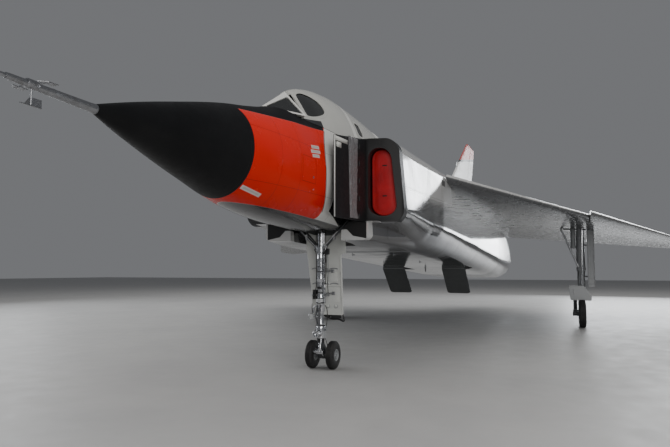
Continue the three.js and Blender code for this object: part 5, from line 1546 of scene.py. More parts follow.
for bay, X, pane_pts, floor_x in (
        ("front", 5700, [(7180, 3420), (7100, 3440), (7020, 3080), (7080, 3050)], (5520, 7240)),
        ("rear", 4200, [(5285, 3540), (5220, 3540), (5180, 3100), (5285, 3060)], (4010, 5280))):
    # seat: rails, side beams, pan, head box, handles
    hard = []
    for y in (-150, 134):
        hard.append(slab_data([(X + 20, 2960), (X + 66, 2960), (X - 34, 3890), (X - 96, 3890)], 1, y, y + 16))
        hard.append(slab_data([(X + 40, 2975), (X + 500, 2975), (X + 515, 3060), (X + 480, 3120), (X + 300, 3150), (X + 60, 3230)], 1, y * 1.42 - (2 if y < 0 else -8), y * 1.42 + 12))
    hard.append(rbox_data(X + 50, X + 505, -205, 205, 2962, 3040, 14))
    hard.append(place_data(rbox_data(-22, 22, -190, 190, 0, 830, 12), (X + 40, 0, 3010), (0.993, 0, 0.12), (0, 1, 0), (-0.12, 0, 0.993)))
    hard.append(rbox_data(X - 84, X + 40, -112, 112, 3720, 3950, 22))
    for y in (-70, 56):
        hard.append(slab_data([(X - 48, 2870), (X - 12, 2870), (X - 108, 3880), (X - 140, 3880)], 1, y, y + 14))
    hard.append(bar_data((X - 60, -170, 3600), (X - 60, 170, 3600), 14, seg=12))
    hard.append(bar_data((X - 20, 175, 3060), (X - 90, 175, 3800), 24, seg=16))
    grouped(hard, f"seat_{bay}_frame", "airframe", M["gear_grey"], (), 30)
    handles = [pipe_data([(X + 505, -60, 3035), (X + 530, -46, 3070), (X + 534, 0, 3084), (X + 530, 46, 3070), (X + 505, 60, 3035)], 8, 10),
               pipe_data([(X + 40, -80, 3905), (X + 66, -70, 3872), (X + 70, 0, 3862), (X + 66, 70, 3872), (X + 40, 80, 3905)], 7, 10)]
    grouped(handles, f"seat_{bay}_handles", "airframe", M["yellow"], (), 40)
    seat_pad = place_data(pad_data(410, 360, 88, (-0.34, 0.0, 0.34)), (X + 292, 0, 3082), (0.996, 0, 0.087), (0, 1, 0), (-0.087, 0, 0.996))
    o = place(mesh_obj(*seat_pad), f"seat_{bay}_cushion", "airframe", M["cloth"], [f"seat_{bay}"], 60)
    back_pad = place_data(pad_data(560, 330, 70, (-0.5, -0.17, 0.17, 0.5)), (X + 54, 0, 3400), (-0.12, 0, 0.993), (0, 1, 0), (0.993, 0, 0.12))
    o = place(mesh_obj(*back_pad), f"seat_{bay}_back_pad", "airframe", M["cloth"], (), 60)
    head_pad = place_data(pad_data(190, 190, 56, ()), (X + 46, 0, 3826), (0, 0, 1), (0, 1, 0), (1, 0, 0))
    o = place(mesh_obj(*head_pad), f"seat_{bay}_head_pad", "airframe", M["leather"], (), 60)
    straps = []
    for y in (-1, 1):
        pts = np.array([(X + 46, y * 62, 3735), (X + 92, y * 66, 3660), (X + 112, y * 68, 3540), (X + 128, y * 64, 3400), (X + 150, y * 50, 3260), (X + 190, y * 28, 3168), (X + 235, y * 8, 3138)], float)
        straps.append(ribbon_data(pts, 44, 2.6))
        pts = np.array([(X + 120, y * 196, 3092), (X + 150, y * 176, 3124), (X + 185, y * 120, 3140), (X + 225, y * 60, 3142), (X + 240, y * 16, 3142)], float)
        straps.append(ribbon_data(pts, 46, 2.6, (0.94, -y * 0.34, 0)))
    grouped(straps, f"seat_{bay}_straps", "airframe", M["strap"], (), 40)
    grouped([turned_data((X + 240, 0, 3138), (0, 0, 1), [(0, 30), (4, 33), (14, 33), (18, 28), (18, 10), (22, 8)], 28)] + [rbox_data(X + 104, X + 116, y - 27, y + 27, 3520, 3552, 4) for y in (-68, 68)], f"seat_{bay}_buckles", "airframe", M["steel"], (), 30)
    # instrument panel with a hooded top
    pp_ = np.array(pane_pts, float)
    top, bottom = pp_[1], pp_[2]
    d_ = (bottom - top) / np.linalg.norm(bottom - top)
    n3 = np.array([d_[1], 0, -d_[0]])
    if n3[0] > 0:
        n3 = -n3
    panel = [slab_data(pane_pts, 1, -322, 322)]
    hood = []
    for k in range(13):
        q = math.pi * k / 12
        hood.append((330 * math.cos(q), 20 + 34 * math.sin(q)))
    hood_rings = []
    for dx, kk in ((-74, 0.94), (-60, 1.0), (40, 1.0), (64, 0.8)):
        hood_rings.append([(top[0] + dx, y * kk, top[1] - 12 + h * kk) for y, h in hood])
    panel.append(loft_data(hood_rings))
    dials, faces_, hands = [], [], []
    spots = []
    rows = [(60, (-240, -160, -62, 40, 142, 236), 37), (152, (-248, -165, -70, 34, 132, 222), 40), (240, (-236, -150, -52, 44, 130, 214), 34), (318, (-200, -120, -40, 40, 120, 200), 28)]
    for i, (dv, ys, r) in enumerate(rows):
        if dv + r > np.linalg.norm(bottom - top) - 4:
            continue
        for j, y in enumerate(ys):
            P = np.array([top[0], 0, top[1]]) + np.array([d_[0], 0, d_[1]]) * dv + np.array([0, y, 0])
            b_, f_, h_ = dial(P, n3, r, 0.7 * i + 1.3 * j)
            dials.append(b_)
            faces_.append(f_)
            hands += h_
    grouped(panel, f"panel_{bay}_board", "airframe", M["interior"], [f"instrument_panel_{bay}"], 30)
    grouped(dials, f"panel_{bay}_bezels", "airframe", M["black"], (), 30)
    grouped(faces_, f"panel_{bay}_dials", "airframe", M["dial"], (), 30)
    grouped(hands, f"panel_{bay}_hands", "airframe", M["needle"], (), 40)
    # side consoles, knobs, stick, floor plate
    x0, x1 = X + 250, pp_[2][0] - 60
    cons, knobs = [], []
    for s in (1, -1):
        ya, yb = sorted((s * 392, s * 486))
        cons.append(rbox_data(x0, x1, ya, yb, 2863, 3092, 10))
        for k in range(int((x1 - x0 - 80) // 62)):
            xx = x0 + 60 + 62 * k
            cons.append(rbox_data(xx - 26, xx + 26, s * 439 - 38, s * 439 + 38, 3090, 3097, 2))
            for q in (-20, 0, 20):
                knobs.append(bar_data((xx - 8, s * 439 + q, 3096), (xx - 8, s * 439 + q, 3112), 5 if k % 2 else 3.4, seg=10))
    cons.append(slab_data([(floor_x[0] + 20, -400), (floor_x[1] - 20, -360), (floor_x[1] - 20, 360), (floor_x[0] + 20, 400)], 2, 2861, 2868))
    knobs += [pipe_data([(X + 640, 420, 3094), (X + 660, 420, 3150), (X + 690, 418, 3190)], 7, 8), bar_data((X + 672, 418, 3200), (X + 722, 418, 3186), 17, 14)]
    knobs.append(turned_data((X + 760, 0, 2866), (-0.06, 0, 1), [(0, 60), (12, 56), (40, 26), (60, 16), (210, 12), (212, 15), (226, 15), (240, 19), (300, 20), (330, 22), (345, 14)], 20))
    for y in (-110, 110):
        if bay == "front":
            knobs.append(slab_data([(6930, 2880), (6950, 2880), (6990, 3010), (6970, 3016)], 1, y - 45, y + 45))
            knobs.append(bar_data((6950, y, 2866), (6958, y, 2960), 9, seg=8))
    grouped(cons, f"cockpit_{bay}_consoles", "airframe", M["interior"], (), 30)
    grouped(knobs, f"cockpit_{bay}_controls", "airframe", M["black"], (), 34)

# the wall between the cockpits
grouped([rbox_data(5336, 5464, -360, 360, 3400, 3462, 12), rbox_data(5380, 5440, -210, 210, 3462, 3700, 16)], "cockpit_wall_fittings", "airframe", M["interior"], (), 30)

# =====================================================================
# air brakes
# =====================================================================
th = math.radians(BRAKE["open"] + math.degrees(math.atan(0.05)))
UD, WD = np.array([-math.cos(th), 0, -math.sin(th)]), np.array([math.sin(th), 0, -math.cos(th)])


def brake_frame(data):
    return place_data(data, (BRAKE["x"], BRAKE["y"], BRAKE["z"]), UD, (0, 1, 0), WD)


L, H = BRAKE["length"], BRAKE["half"]
outline = rounded([(6, -H), (L - 40, -H), (L, -H + 60), (L, H - 60), (L - 40, H), (6, H)], 0.12, 4)
skin = loft_data([[(u, v, w) for u, v in shrunk(outline, i)] for w, i in ((30, 4), (33, 0), (44, 0), (48, 5))])
ribs = [rbox_data(30, L - 30, v - 7, v + 7, 4, 32, 3) for v in (-240, -90, 90, 240)]
ribs += [rbox_data(u - 7, u + 7, -H + 18, H - 18, 4, 32, 3) for u in (36, 250, 470, 690, 910, L - 36)]
ribs += [rbox_data(u - 40, u + 40, -70, 70, 2, 30, 6) for u in (560,)]
knuckles = [place_data(turned_data((12, v, 14), (0, 1, 0), [(0, 12), (2, 14), (62, 14), (64, 12)], 18), (0, 0, 0), (1, 0, 0), (0, 1, 0), (0, 0, 1)) for v in (-270, -110, 50, 200)]
strip = [rbox_data(52, 66, -H + 26, H - 26, 47, 50, 1.2)]
pins = [bolt_data((u, v, 48.2), (0, 0, 1), 5.5, 2.5) for u in np.arange(95, L - 30, 62) for v in (-H + 22, H - 22)]
pins += [bolt_data((u, v, 48.2), (0, 0, 1), 5.5, 2.5) for u in (95, L - 36) for v in np.arange(-H + 84, H - 60, 62)]
for side, fn in (("left", lambda d: d), ("right", flip_y)):
    b = f"airbrake_{side}"
    grouped([fn(brake_frame(d)) for d in [skin] + ribs + pins], f"{b}_plate", b, M["brake"], [b], 30)
    grouped([fn(brake_frame(d)) for d in knuckles + strip], f"{b}_hinge_rod", b, M["chrome"], (), 30)

# =====================================================================
# wheels
# =====================================================================


def tyre_outline(R, W, rim):
    h = W / 2
    side = []
    for k in range(11):
        t = math.pi / 2 * k / 10
        side.append((h * math.cos(t) ** 0.5 if k < 10 else 0, rim + (R - rim) * math.sin(t) ** 0.72))
    left = [(-a_, r) for a_, r in side[:-1]]
    groove = []
    tread = 0.62 * h
    pts = [(-h * 0.72, rim - 6), (-h * 0.86, rim + 4)] + [p for p in left if p[1] > rim + 8 and abs(p[0]) > tread * 0.98]
    for g in (-0.42, -0.14, 0.14, 0.42):
        groove += [(g * h - 5, R - 1), (g * h - 3.4, R - 9), (g * h + 3.4, R - 9), (g * h + 5, R - 1)]
    pts += groove
    pts += [(-a_, r) for a_, r in reversed(pts[:len(pts) - len(groove)])]
    return pts


def wheel(c, R, W, rim, s, face=0.80):
    """tyre, and hub; s is not used"""
    h = W / 2
    c = np.asarray(c, float)
    tyre = turned_data(c, (0, 1, 0), tyre_outline(R, W, rim), 72, closed=True)
    prof = [(-h * face, rim * 0.30), (-h * face, rim * 0.42), (-h * 0.46, rim * 0.50), (-h * 0.42, rim * 0.80), (-h * (face - 0.07), rim * 0.91), (-h * face, rim * 0.98), (-h * (face - 0.06), rim * 1.03), (-h * 0.60, rim - 2)]
    prof = prof + [(-a_, r) for a_, r in reversed(prof)]
    hub = turned_data(c, (0, 1, 0), prof, 56)
    bits = []
    for side in (1, -1):
        for k in range(10):
            t = 2 * math.pi * k / 10
            p = c + np.array([math.cos(t) * rim * 0.66, side * h * 0.45, math.sin(t) * rim * 0.66])
            bits.append(turned_data(p, (0, side, 0), [(-2, rim * 0.085), (3, rim * 0.085), (3, rim * 0.055), (-1, rim * 0.055)], 14))
        for k in range(8):
            t = 2 * math.pi * (k + 0.5) / 8
            p = c + np.array([math.cos(t) * rim * 0.34, side * h * 0.62, math.sin(t) * rim * 0.34])
            bits.append(bolt_data(p, (0, side, 0), rim * 0.045, h * 0.1))
        bits.append(turned_data(c + np.array([0, side * h * (face - 0.04), 0]), (0, side, 0), [(0, rim * 0.25), (h * 0.08, rim * 0.24), (h * 0.12, rim * 0.16)], 24))
    return tyre, hub, bits


NWX, NWZ = 5595, 215
t1, h1, b1 = wheel((NWX, 170, NWZ), 214, 128, 88, 1, 0.93)
t2, h2, b2 = wheel((NWX, -170, NWZ), 214, 128, 88, -1, 0.93)
grouped([t1, t2], "nose_wheel_tyres", "nose_wheels", M["rubber"], ["nose_wheels"], 38)
grouped([h1, h2], "nose_wheel_hubs", "nose_wheels", M["hub"], (), 32)
grouped(b1 + b2, "nose_wheel_bolts", "nose_wheels", M["steel"], (), 32)
grouped([bar_data((NWX, -120, NWZ), (NWX, 120, NWZ), 34)], "nose_wheel_axle", "nose_wheels", M["steel"], (), 32)
MWY = 3810
for end, x in (("front", MX + 400), ("rear", MX - 400)):
    for side, s in (("left", 1), ("right", -1)):
        t_, h_, b_ = wheel((x, s * MWY, 368), 368, 196, 185, s)
        b = f"main_wheel_{end}_{side}"
        # bore for the axle on the inboard side
        grouped([t_], f"{b}_tyre", b, M["rubber"], [b], 38)
        hub_o = cut(mesh_obj(*h_), mesh_obj(*turned_data((x, s * (MWY - 150), 368), (0, s, 0), [(0, 42), (190, 42)], 32)))
        place(hub_o, f"{b}_hub", b, M["hub"], (), 32)
        keep_b = [d for d in b_ if np.mean(d[0][:, 1]) * s > MWY or np.hypot(np.mean(d[0][:, 0]) - x, np.mean(d[0][:, 2]) - 368) > 50]
        grouped(keep_b, f"{b}_bolts", b, M["steel"], (), 32)

# =====================================================================
# nose gear
# =====================================================================
LX = 5685
leg = [turned_data((LX, 0, 1010), (0, 0, 1), [
    (0, 62), (4, 68), (66, 70), (70, 66), (78, 60), (84, 58), (150, 58), (154, 55.5), (160, 55.5), (164, 58), (318, 58), (322, 64), (368, 66), (372, 60), (400, 58),
    (470, 58), (474, 55.5), (482, 55.5), (486, 58), (628, 58), (632, 65), (678, 66), (682, 60), (690, 58), (768, 60), (776, 75), (866, 76), (874, 62), (890, 58), (1180, 58), (1186, 66), (1230, 66), (1236, 58), (1660, 58), (1689, 50)], 48)]
leg.append(bar_data((LX, -235, 2350), (LX, 235, 2350), 55, seg=28))
lugs, braces = [], []
for s in (1, -1):
    braces.append(bar_data((LX, s * 30, 1830), (LX + 60, s * 470, 2270), 24, seg=20))
    braces.append(bar_data((LX - 60, s * 30, 1850), (LX - 40, s * 430, 2280), 13, seg=14))
    leg.append(bar_data((LX + 28, s * 34, 1842), (LX + 66, s * 300, 2108), 6, seg=12))
    lugs.append(bar_data((LX - 34, s * 84, 1868), (LX + 40, s * 84, 1868), 17, seg=16))
    lugs.append(rbox_data(LX - 26, LX + 34, min(s * 60, s * 110), max(s * 60, s * 110), 1846, 1908, 10))
    lugs.append(bar_data((LX + 6, s * 220, 1985), (LX + 40, s * 236, 2072), 30, seg=16))
    # steering cylinders on each side of the collar
    lugs.append(bar_data((LX - 70, s * 96, 1130), (LX + 66, s * 96, 1130), 24, seg=18))
    lugs.append(bar_data((LX + 66, s * 96, 1130), (LX + 104, s * 96, 1130), 12, seg=14))
    lugs.append(rbox_data(LX - 28, LX + 28, min(s * 50, s * 92), max(s * 50, s * 92), 1112, 1150, 8))
for z in (1355, 1665, 1835, 1045):
    for k in range(8):
        t = 2 * math.pi * (k + 0.5) / 8
        r = 75 if z == 1835 else 66
        lugs.append(bolt_data((LX + math.cos(t) * r, math.sin(t) * r, z), (math.cos(t), math.sin(t), 0), 6, 5))
grouped(leg, "nose_leg_cylinder", "airframe", M["chrome"], ["nose_gear_leg"], 26)
grouped(lugs, "nose_leg_fittings", "airframe", M["steel"], (), 30)
grouped(braces, "nose_leg_braces", "airframe", M["gear_dark"], (), 30)
rings_ = [turned_data((LX, 0, z), (0, 0, 1), [(0, 58.5), (0, 62), (10, 62), (10, 58.5)], 40, closed=True) for z in (1166, 1486, 1560, 1960, 2080)]
rings_.append(rbox_data(LX - 10, LX + 66, -110, -56, 1068, 1214, 8))
rings_.append(rbox_data(LX - 10, LX + 46, 64, 146, 1752, 1846, 8))
rings_.append(turned_data((LX + 20, 72, 1752), (0, 0, -1), [(0, 22), (20, 24), (120, 22), (128, 17), (430, 17), (436, 21), (452, 21), (458, 14)], 20))
rings_.append(rbox_data(LX + 6, LX + 64, -50, 66, 1006, 1024, 4))
rings_.append(rbox_data(LX + 40, LX + 86, -30, 40, 1225, 1262, 8))
grouped(rings_, "nose_leg_clamps", "airframe", M["black"], (), 30)
pipes = [pipe_data([(LX + 34, 60, 2620), (LX + 36, 66, 2000), (LX + 40, 70, 1900), (LX + 40, 92, 1835), (LX + 38, 72, 1770), (LX + 36, 68, 1400), (LX + 36, 76, 1355), (LX + 36, 68, 1310), (LX + 36, 66, 1100)], 8, 10),
         pipe_data([(LX + 52, 38, 2600), (LX + 54, 40, 1930), (LX + 72, 52, 1840), (LX + 54, 42, 1760), (LX + 52, 40, 1250)], 5, 8)]
pipes.append(pipe_data([(LX + 30, 78, 1290), (LX + 34, 80, 1240), (LX + 34, 80, 1040), (LX + 30, 74, 1022)], 11, 10))
grouped(pipes, "nose_leg_pipes", "airframe", M["chrome"], (), 40)
hoses = [pipe_data([(LX + 20, -66, 2500), (LX + 26, -70, 1900), (LX + 24, -94, 1830), (LX + 22, -68, 1740), (LX + 24, -64, 1300), (LX + 30, -74, 1218)], 7, 8),
         pipe_data([(LX - 40, 60, 2560), (LX - 46, 66, 1900), (LX - 50, 80, 1500), (LX - 66, 96, 1160)], 6, 8)]
grouped(hoses, "nose_leg_hoses", "airframe", M["hose"], (), 40)

fork = [turned_data((LX, 0, 470), (0, 0, 1), [(0, 62), (8, 74), (150, 75), (190, 70), (215, 60), (222, 51), (226, 50), (404, 50), (410, 64), (418, 66), (500, 66), (528, 66), (532, 60)], 44)]
cast = []
for z, xa, xb, y, r in ((500, LX - 58, LX + 50, 60, 30), (455, LX - 56, LX + 48, 52, 28), (420, LX - 58, LX + 44, 46, 26), (385, LX - 66, LX + 40, 48, 26), (340, LX - 96, LX + 30, 58, 28), (290, LX - 128, LX + 10, 64, 30), (240, LX - 146, LX - 20, 66, 30), (190, LX - 146, LX - 34, 66, 30), (158, LX - 134, LX - 48, 62, 24)):
    ring = round_box(0, xa, xb, -y, y, r, r, 0, 4)
    cast.append([(a_, b_, z) for _, a_, b_ in ring])
casting = cut(mesh_obj(*loft_data(cast)), mesh_obj(*turned_data((NWX, -300, NWZ), (0, 1, 0), [(0, 42), (600, 42)], 32)))
fork.append(turned_data((LX + 30, 0, 548), (1, 0, 0), [(0, 52), (50, 54), (60, 44), (112, 42), (120, 54), (150, 57), (172, 54), (174.8, 50), (174.8, 36), (168, 32), (96, 30)], 36))
link = []
for y in (-30, 16):
    link.append(slab_data(rounded([(LX + 32, 992), (LX + 66, 992), (LX + 168, 826), (LX + 168, 794), (LX + 136, 794), (LX + 32, 922)], 0.25, 4), 1, y, y + 14))
    link.append(slab_data(rounded([(LX + 32, 630), (LX + 66, 630), (LX + 166, 780), (LX + 168, 812), (LX + 136, 812), (LX + 32, 700)], 0.25, 4), 1, y * 0.55 - 3, y * 0.55 + 7))
link.append(bar_data((LX + 151, -42, 803), (LX + 151, 42, 803), 11, seg=16))
link.append(bar_data((LX + 49, -40, 964), (LX + 49, 40, 964), 12, seg=16))
link.append(bar_data((LX + 49, -40, 660), (LX + 49, 40, 660), 12, seg=16))
for s in (1, -1):
    link.append(bar_data((LX + 6, s * 66, 600), (LX + 6, s * 92, 600), 20, seg=16))
    link.append(bar_data((NWX, s * 62, NWZ), (NWX, s * 84, NWZ), 52, seg=30))
join(casting, mesh_obj(*turned_data((NWX, -66, NWZ), (0, 1, 0), [(0, 58), (4, 62), (128, 62), (132, 58)], 36)))
cut(casting, mesh_obj(*turned_data((NWX, -300, NWZ), (0, 1, 0), [(0, 40), (600, 40)], 32)))
# the fork casting gets the darkest grey as painted shade between the nose wheels
place(casting, "nose_fork_casting", "nose_steering", M["gear_dark"], (), 28)
link = [d for d in link[:-4]] + [link[-4], link[-2]]
bright = [turned_data((LX + 34, 6, 300), (0, 0, 1), [(0, 34), (20, 36), (60, 30), (70, 26), (92, 26), (98, 30), (106, 28)], 26),
          rbox_data(LX + 4, LX + 62, -60, 62, 232, 300, 20, 4),
          turned_data((LX + 36, -98, 266), (0, 1, 0), [(0, 18), (6, 26), (40, 28), (46, 22), (60, 22)], 26),
          turned_data((LX + 62, -20, 282), (1, 0, 0), [(-10, 30), (2, 30), (8, 24), (12, 10)], 26),
          bolt_data((LX + 60, 34, 256), (1, 0, 0), 11, 9), bolt_data((LX + 60, -46, 256), (1, 0, 0), 9, 8),
          pipe_data([(LX + 46, 28, 470), (LX + 58, 30, 400), (LX + 60, 32, 300), (LX + 40, 60, 214), (LX - 10, 84, 208)], 5, 8)]
grouped(bright, "nose_fork_fittings", "nose_steering", M["chrome"], (), 28)
neck = [turned_data((LX, 0, 380), (0, 0, 1), [(0, 44), (6, 50), (70, 54), (88, 60)], 32), turned_data((LX, 0, 656), (0, 0, 1), [(0, 68), (4, 77), (16, 77), (20, 68)], 36)]
grouped(neck, "nose_fork_neck", "nose_steering", M["black"], (), 28)
grouped(fork, "nose_fork_piston", "nose_steering", M["chrome"], ["nose_gear_fork"], 26)
grouped(link, "nose_fork_links", "nose_steering", M["steel"], (), 28)
grouped([pipe_data([(LX + 6, -62, 985 - 30 * k), (LX + 18, -84 - 22 * k, 968 - 20 * k), (LX + 28, -92 - 22 * k, 900 - 10 * k), (LX + 40, -100 - 8 * k, 856)], 7, 8) for k in (0, 1)], "nose_fork_pipes", "nose_steering", M["chrome"], (), 40)
grouped([pipe_data([(LX - 40, 40, 990), (LX - 96, 66, 900), (LX - 100, 62, 700), (LX - 45, 46, 606)], 6, 8), pipe_data([(LX - 60, 50, 470), (LX - 92, 62, 400), (LX - 130, 68, 320)], 5, 8)], "nose_fork_hoses", "nose_steering", M["hose"], (), 40)
lamp = [turned_data((LX + 34, -108, 803), (1, 0, 0), [(0, 8), (3, 22), (20, 38), (60, 48), (78, 51), (86, 52), (88, 50), (88, 45), (80, 43), (60, 36), (42, 20), (38, 4)], 36),
        bar_data((LX + 20, -48, 803), (LX + 60, -92, 803), 12, seg=12), turned_data((LX + 74, -108, 803), (1, 0, 0), [(0, 3), (2, 8), (10, 9), (14, 5)], 14)]
grouped(lamp, "landing_light_body", "nose_steering", M["chrome"], ["landing_light"], 30)
grouped([turned_data((LX + 34 + 81, -108, 803), (1, 0, 0), [(0, 44), (2, 44), (6, 34), (8, 16), (8.5, 2)], 32)], "landing_light_lens", "nose_steering", M["lens"], (), 40)


def door_x(z): return 5520 - (2080 - z) * 0.116


edge = [(232, 806), (244, 812), (248, 826), (256, 1748), (262, 1768), (326, 1776), (333, 1790), (331, 2120), (-330, 2120), (-330, 1900), (-322, 1760), (-279, 1215), (-268, 836), (-262, 816), (-246, 808)]
door = loft_data([[(door_x(z) + dx, y + (-i if y > 0 else i), z + (i if z < 1000 else 0)) for y, z in edge] for dx, i in ((-36, 5), (-32, 0), (-5, 0), (0, 4))])
door_o = cut(mesh_obj(*door), body_tube(6400, 4700, 4, 60, 80))
place(door_o, "nose_door_plate", "airframe", M["door"], ["nose_gear_door"], 26)
dp = []


def on_door(y, z, off=0.0):
    return np.array([door_x(z) + off, y, z])


seams_ = []
for z0 in (1528, 1292):
    for ya, yb in ((-250, -150), (-40, 32), (52, 196)):
        seams_.append(pipe_data([on_door(y, z0 + 16 * (1 - ((y - (ya + yb) / 2) / (yb - ya) * 2) ** 2) * (1 if yb - ya > 80 else 0.4), 2) for y in np.linspace(ya, yb, 9)], 8, 8, 3))
    dp.append(rbox_data(door_x(z0 - 24) - 2, door_x(z0 - 24) + 9, -256, 240, z0 - 34, z0 - 18, 4))
seams_.append(loft_data([[on_door(y, z, o) for y, o in ((29, -1), (36, -1), (36, 5), (29, 5))] for z in (1330, 1770)]))
seams_.append(loft_data([[on_door(y, z, o) for y, o in ((-41, -1), (-31, -1), (-31, 5), (-41, 5))] for z in (986, 1262)]))
dp.append(loft_data([[on_door(y, z, o) for y, o in ((-26, -1), (-18, -1), (-18, 8), (-26, 8))] for z in (840, 1270)]))
dp.append(loft_data([[on_door(y + i if y < 100 else y - i, z, o) for y, z in ((58, 1336), (182, 1336), (182, 1494), (58, 1494))] for o, i in ((-1, 0), (5, 2), (7, 5))]))
dp.append(loft_data([[on_door(y + i if y < 100 else y - i, z, o) for y, z in ((-10, 1010), (206, 1010), (206, 1240), (-10, 1240))] for o, i in ((-1, 0), (5, 2), (7, 5))]))
dp.append(loft_data([[on_door(y, z, o) for y, o in ((238, -2), (247, -2), (247, 12), (238, 12))] for z in (830, 1745)]))
for y in (2, 136):
    seams_.append(turned_data(on_door(y, 948, -1), (1, 0, 0.116), [(0, 34), (5, 34), (7, 30), (5, 26), (0, 25)], 28, closed=True))
    dp.append(turned_data(on_door(y, 948, -1), (1, 0, 0.116), [(0, 24), (3, 23), (9, 12), (10, 3)], 28))
for k in range(22):
    z = 840 + k * 42
    dp.append(bolt_data(on_door(-256 - (z - 836) * 0.045, z, -0.5), (1, 0, 0), 5, 3))
    dp.append(bolt_data(on_door(226, z, -0.5), (1, 0, 0), 5, 3))
for y in np.arange(-300, 310, 40):
    dp.append(bolt_data(on_door(y, 1802, -0.5), (1, 0, 0), 5, 3))
grouped(dp, "nose_door_ribs", "airframe", M["door"], (), 34)
grouped(seams_, "nose_door_seams", "airframe", M["gear_grey"], (), 34)
dl = []
for s, z in ((1, 1500), (-1, 1500), (1, 1150), (-1, 1150)):
    dl.append(bar_data((door_x(z) - 12, s * 110, z), (LX - 40, s * 30, z), 13, seg=14))
    dl.append(rbox_data(door_x(z) - 6, door_x(z) + 30, s * 110 - 26, s * 110 + 26, z - 26, z + 26, 8))
foot = [pipe_data([on_door(-40, 822, -18), on_door(-16, 770, -12), on_door(60, 742, -8), on_door(150, 744, -8), on_door(205, 730, -8), on_door(246, 712, -8), on_door(262, 736, -10), on_door(236, 822, -18)], 13, 10),
        rbox_data(door_x(780) - 28, door_x(780) - 8, 40, 210, 752, 812, 8), rbox_data(door_x(780) - 30, door_x(780) - 6, -48, -8, 770, 826, 8)]
grouped(foot, "nose_door_foot", "airframe", M["black"], (), 34)
grouped(dl, "nose_door_links", "airframe", M["steel"], (), 34)

# nose gear bay: frames and pipes
bay = []
for x in (5400, 5560, 5860, 6020, 6180):
    for s in (1, -1):
        bay.append(rbox_data(x - 7, x + 7, min(s * 226, s * 249), max(s * 226, s * 249), 2160, 2690, 3))
    bay.append(rbox_data(x - 7, x + 7, -249, 249, 2668, 2698, 3))
bay += [pipe_data([(5345, y, z), (5700, y, z - 12), (6230, y, z)], 8, 8) for y, z in ((-200, 2655), (-176, 2648), (182, 2650))]
grouped(bay, "nose_bay_frames", "airframe", M["primer"], (), 34)

# =====================================================================
# main gear
# =====================================================================
LY, BY, TOP = 3810, 3636, 2764
mleg = [turned_data((MX, LY, 930), (0, 0, 1), [(0, 86), (6, 96), (66, 98), (70, 112), (76, 116), (126, 116), (132, 112), (138, 98), (300, 98), (304, 94), (314, 94), (318, 98), (566, 98), (570, 112), (576, 116), (664, 116), (670, 112), (676, 98), (980, 98), (984, 94), (996, 94), (1000, 98), (1420, 98), (1426, 106), (1480, 106), (1486, 98), (1830, 98), (TOP - 930, 92)], 44)]
mleg.append(bar_data((MX, 3622, 2110), (MX, 3622, TOP), 62, seg=28))
mleg.append(bar_data((MX, 3600, 2160), (MX, LY - 60, 2160), 34, seg=18))
mleg.append(rbox_data(MX - 60, MX + 60, LY - 60, LY + 130, 2180, 2230, 12))
beam = [bar_data((MX, LY, 800), (MX, LY, 940), 72, seg=32),
        bar_data((MX, LY + 44, 858), (MX, BY - 30, 858), 50, seg=28),
        turned_data((MX, BY, 340), (0, 0, 1), [(0, 60), (20, 64), (60, 60), (90, 50), (420, 50), (460, 56), (560, 54), (570, 46)], 32),
        turned_data((MX - 452, BY, 368), (1, 0, 0), [(0, 44), (8, 52), (100, 56), (300, 48), (400, 60), (504, 60), (604, 48), (804, 56), (896, 52), (904, 44)], 32)]
for q in (1, -1):
    beam.append(bar_data((MX + q * 400, BY - 64, 368), (MX + q * 400, MWY - 84, 368), 62, seg=32))
    beam.append(bar_data((MX + q * 400, BY, 368), (MX + q * 400, MWY + 28, 368), 33, seg=24))
    beam.append(rbox_data(MX + q * 400 - 50, MX + q * 400 + 50, BY - 34, BY + 40, 420, 480, 12))
small = []
for q in (1, -1):
    small.append(bar_data((MX + q * 60, LY - 20, 1500), (MX + q * 60, 3230, 2880), 26, seg=18))
small.append(bar_data((MX - 74, 3520, 2190), (MX + 74, 3520, 2190), 24, seg=16))
small.append(bar_data((MX - 84, LY - 26, 1512), (MX + 84, LY - 26, 1512), 30, seg=18))
for z in (1560, 1032, 2380):
    for k in range(10):
        t = 2 * math.pi * (k + 0.5) / 10
        r = 116 if z < 2000 else 106
        small.append(bolt_data((MX + math.cos(t) * r, LY + math.sin(t) * r, z), (math.cos(t), math.sin(t), 0), 8, 6))
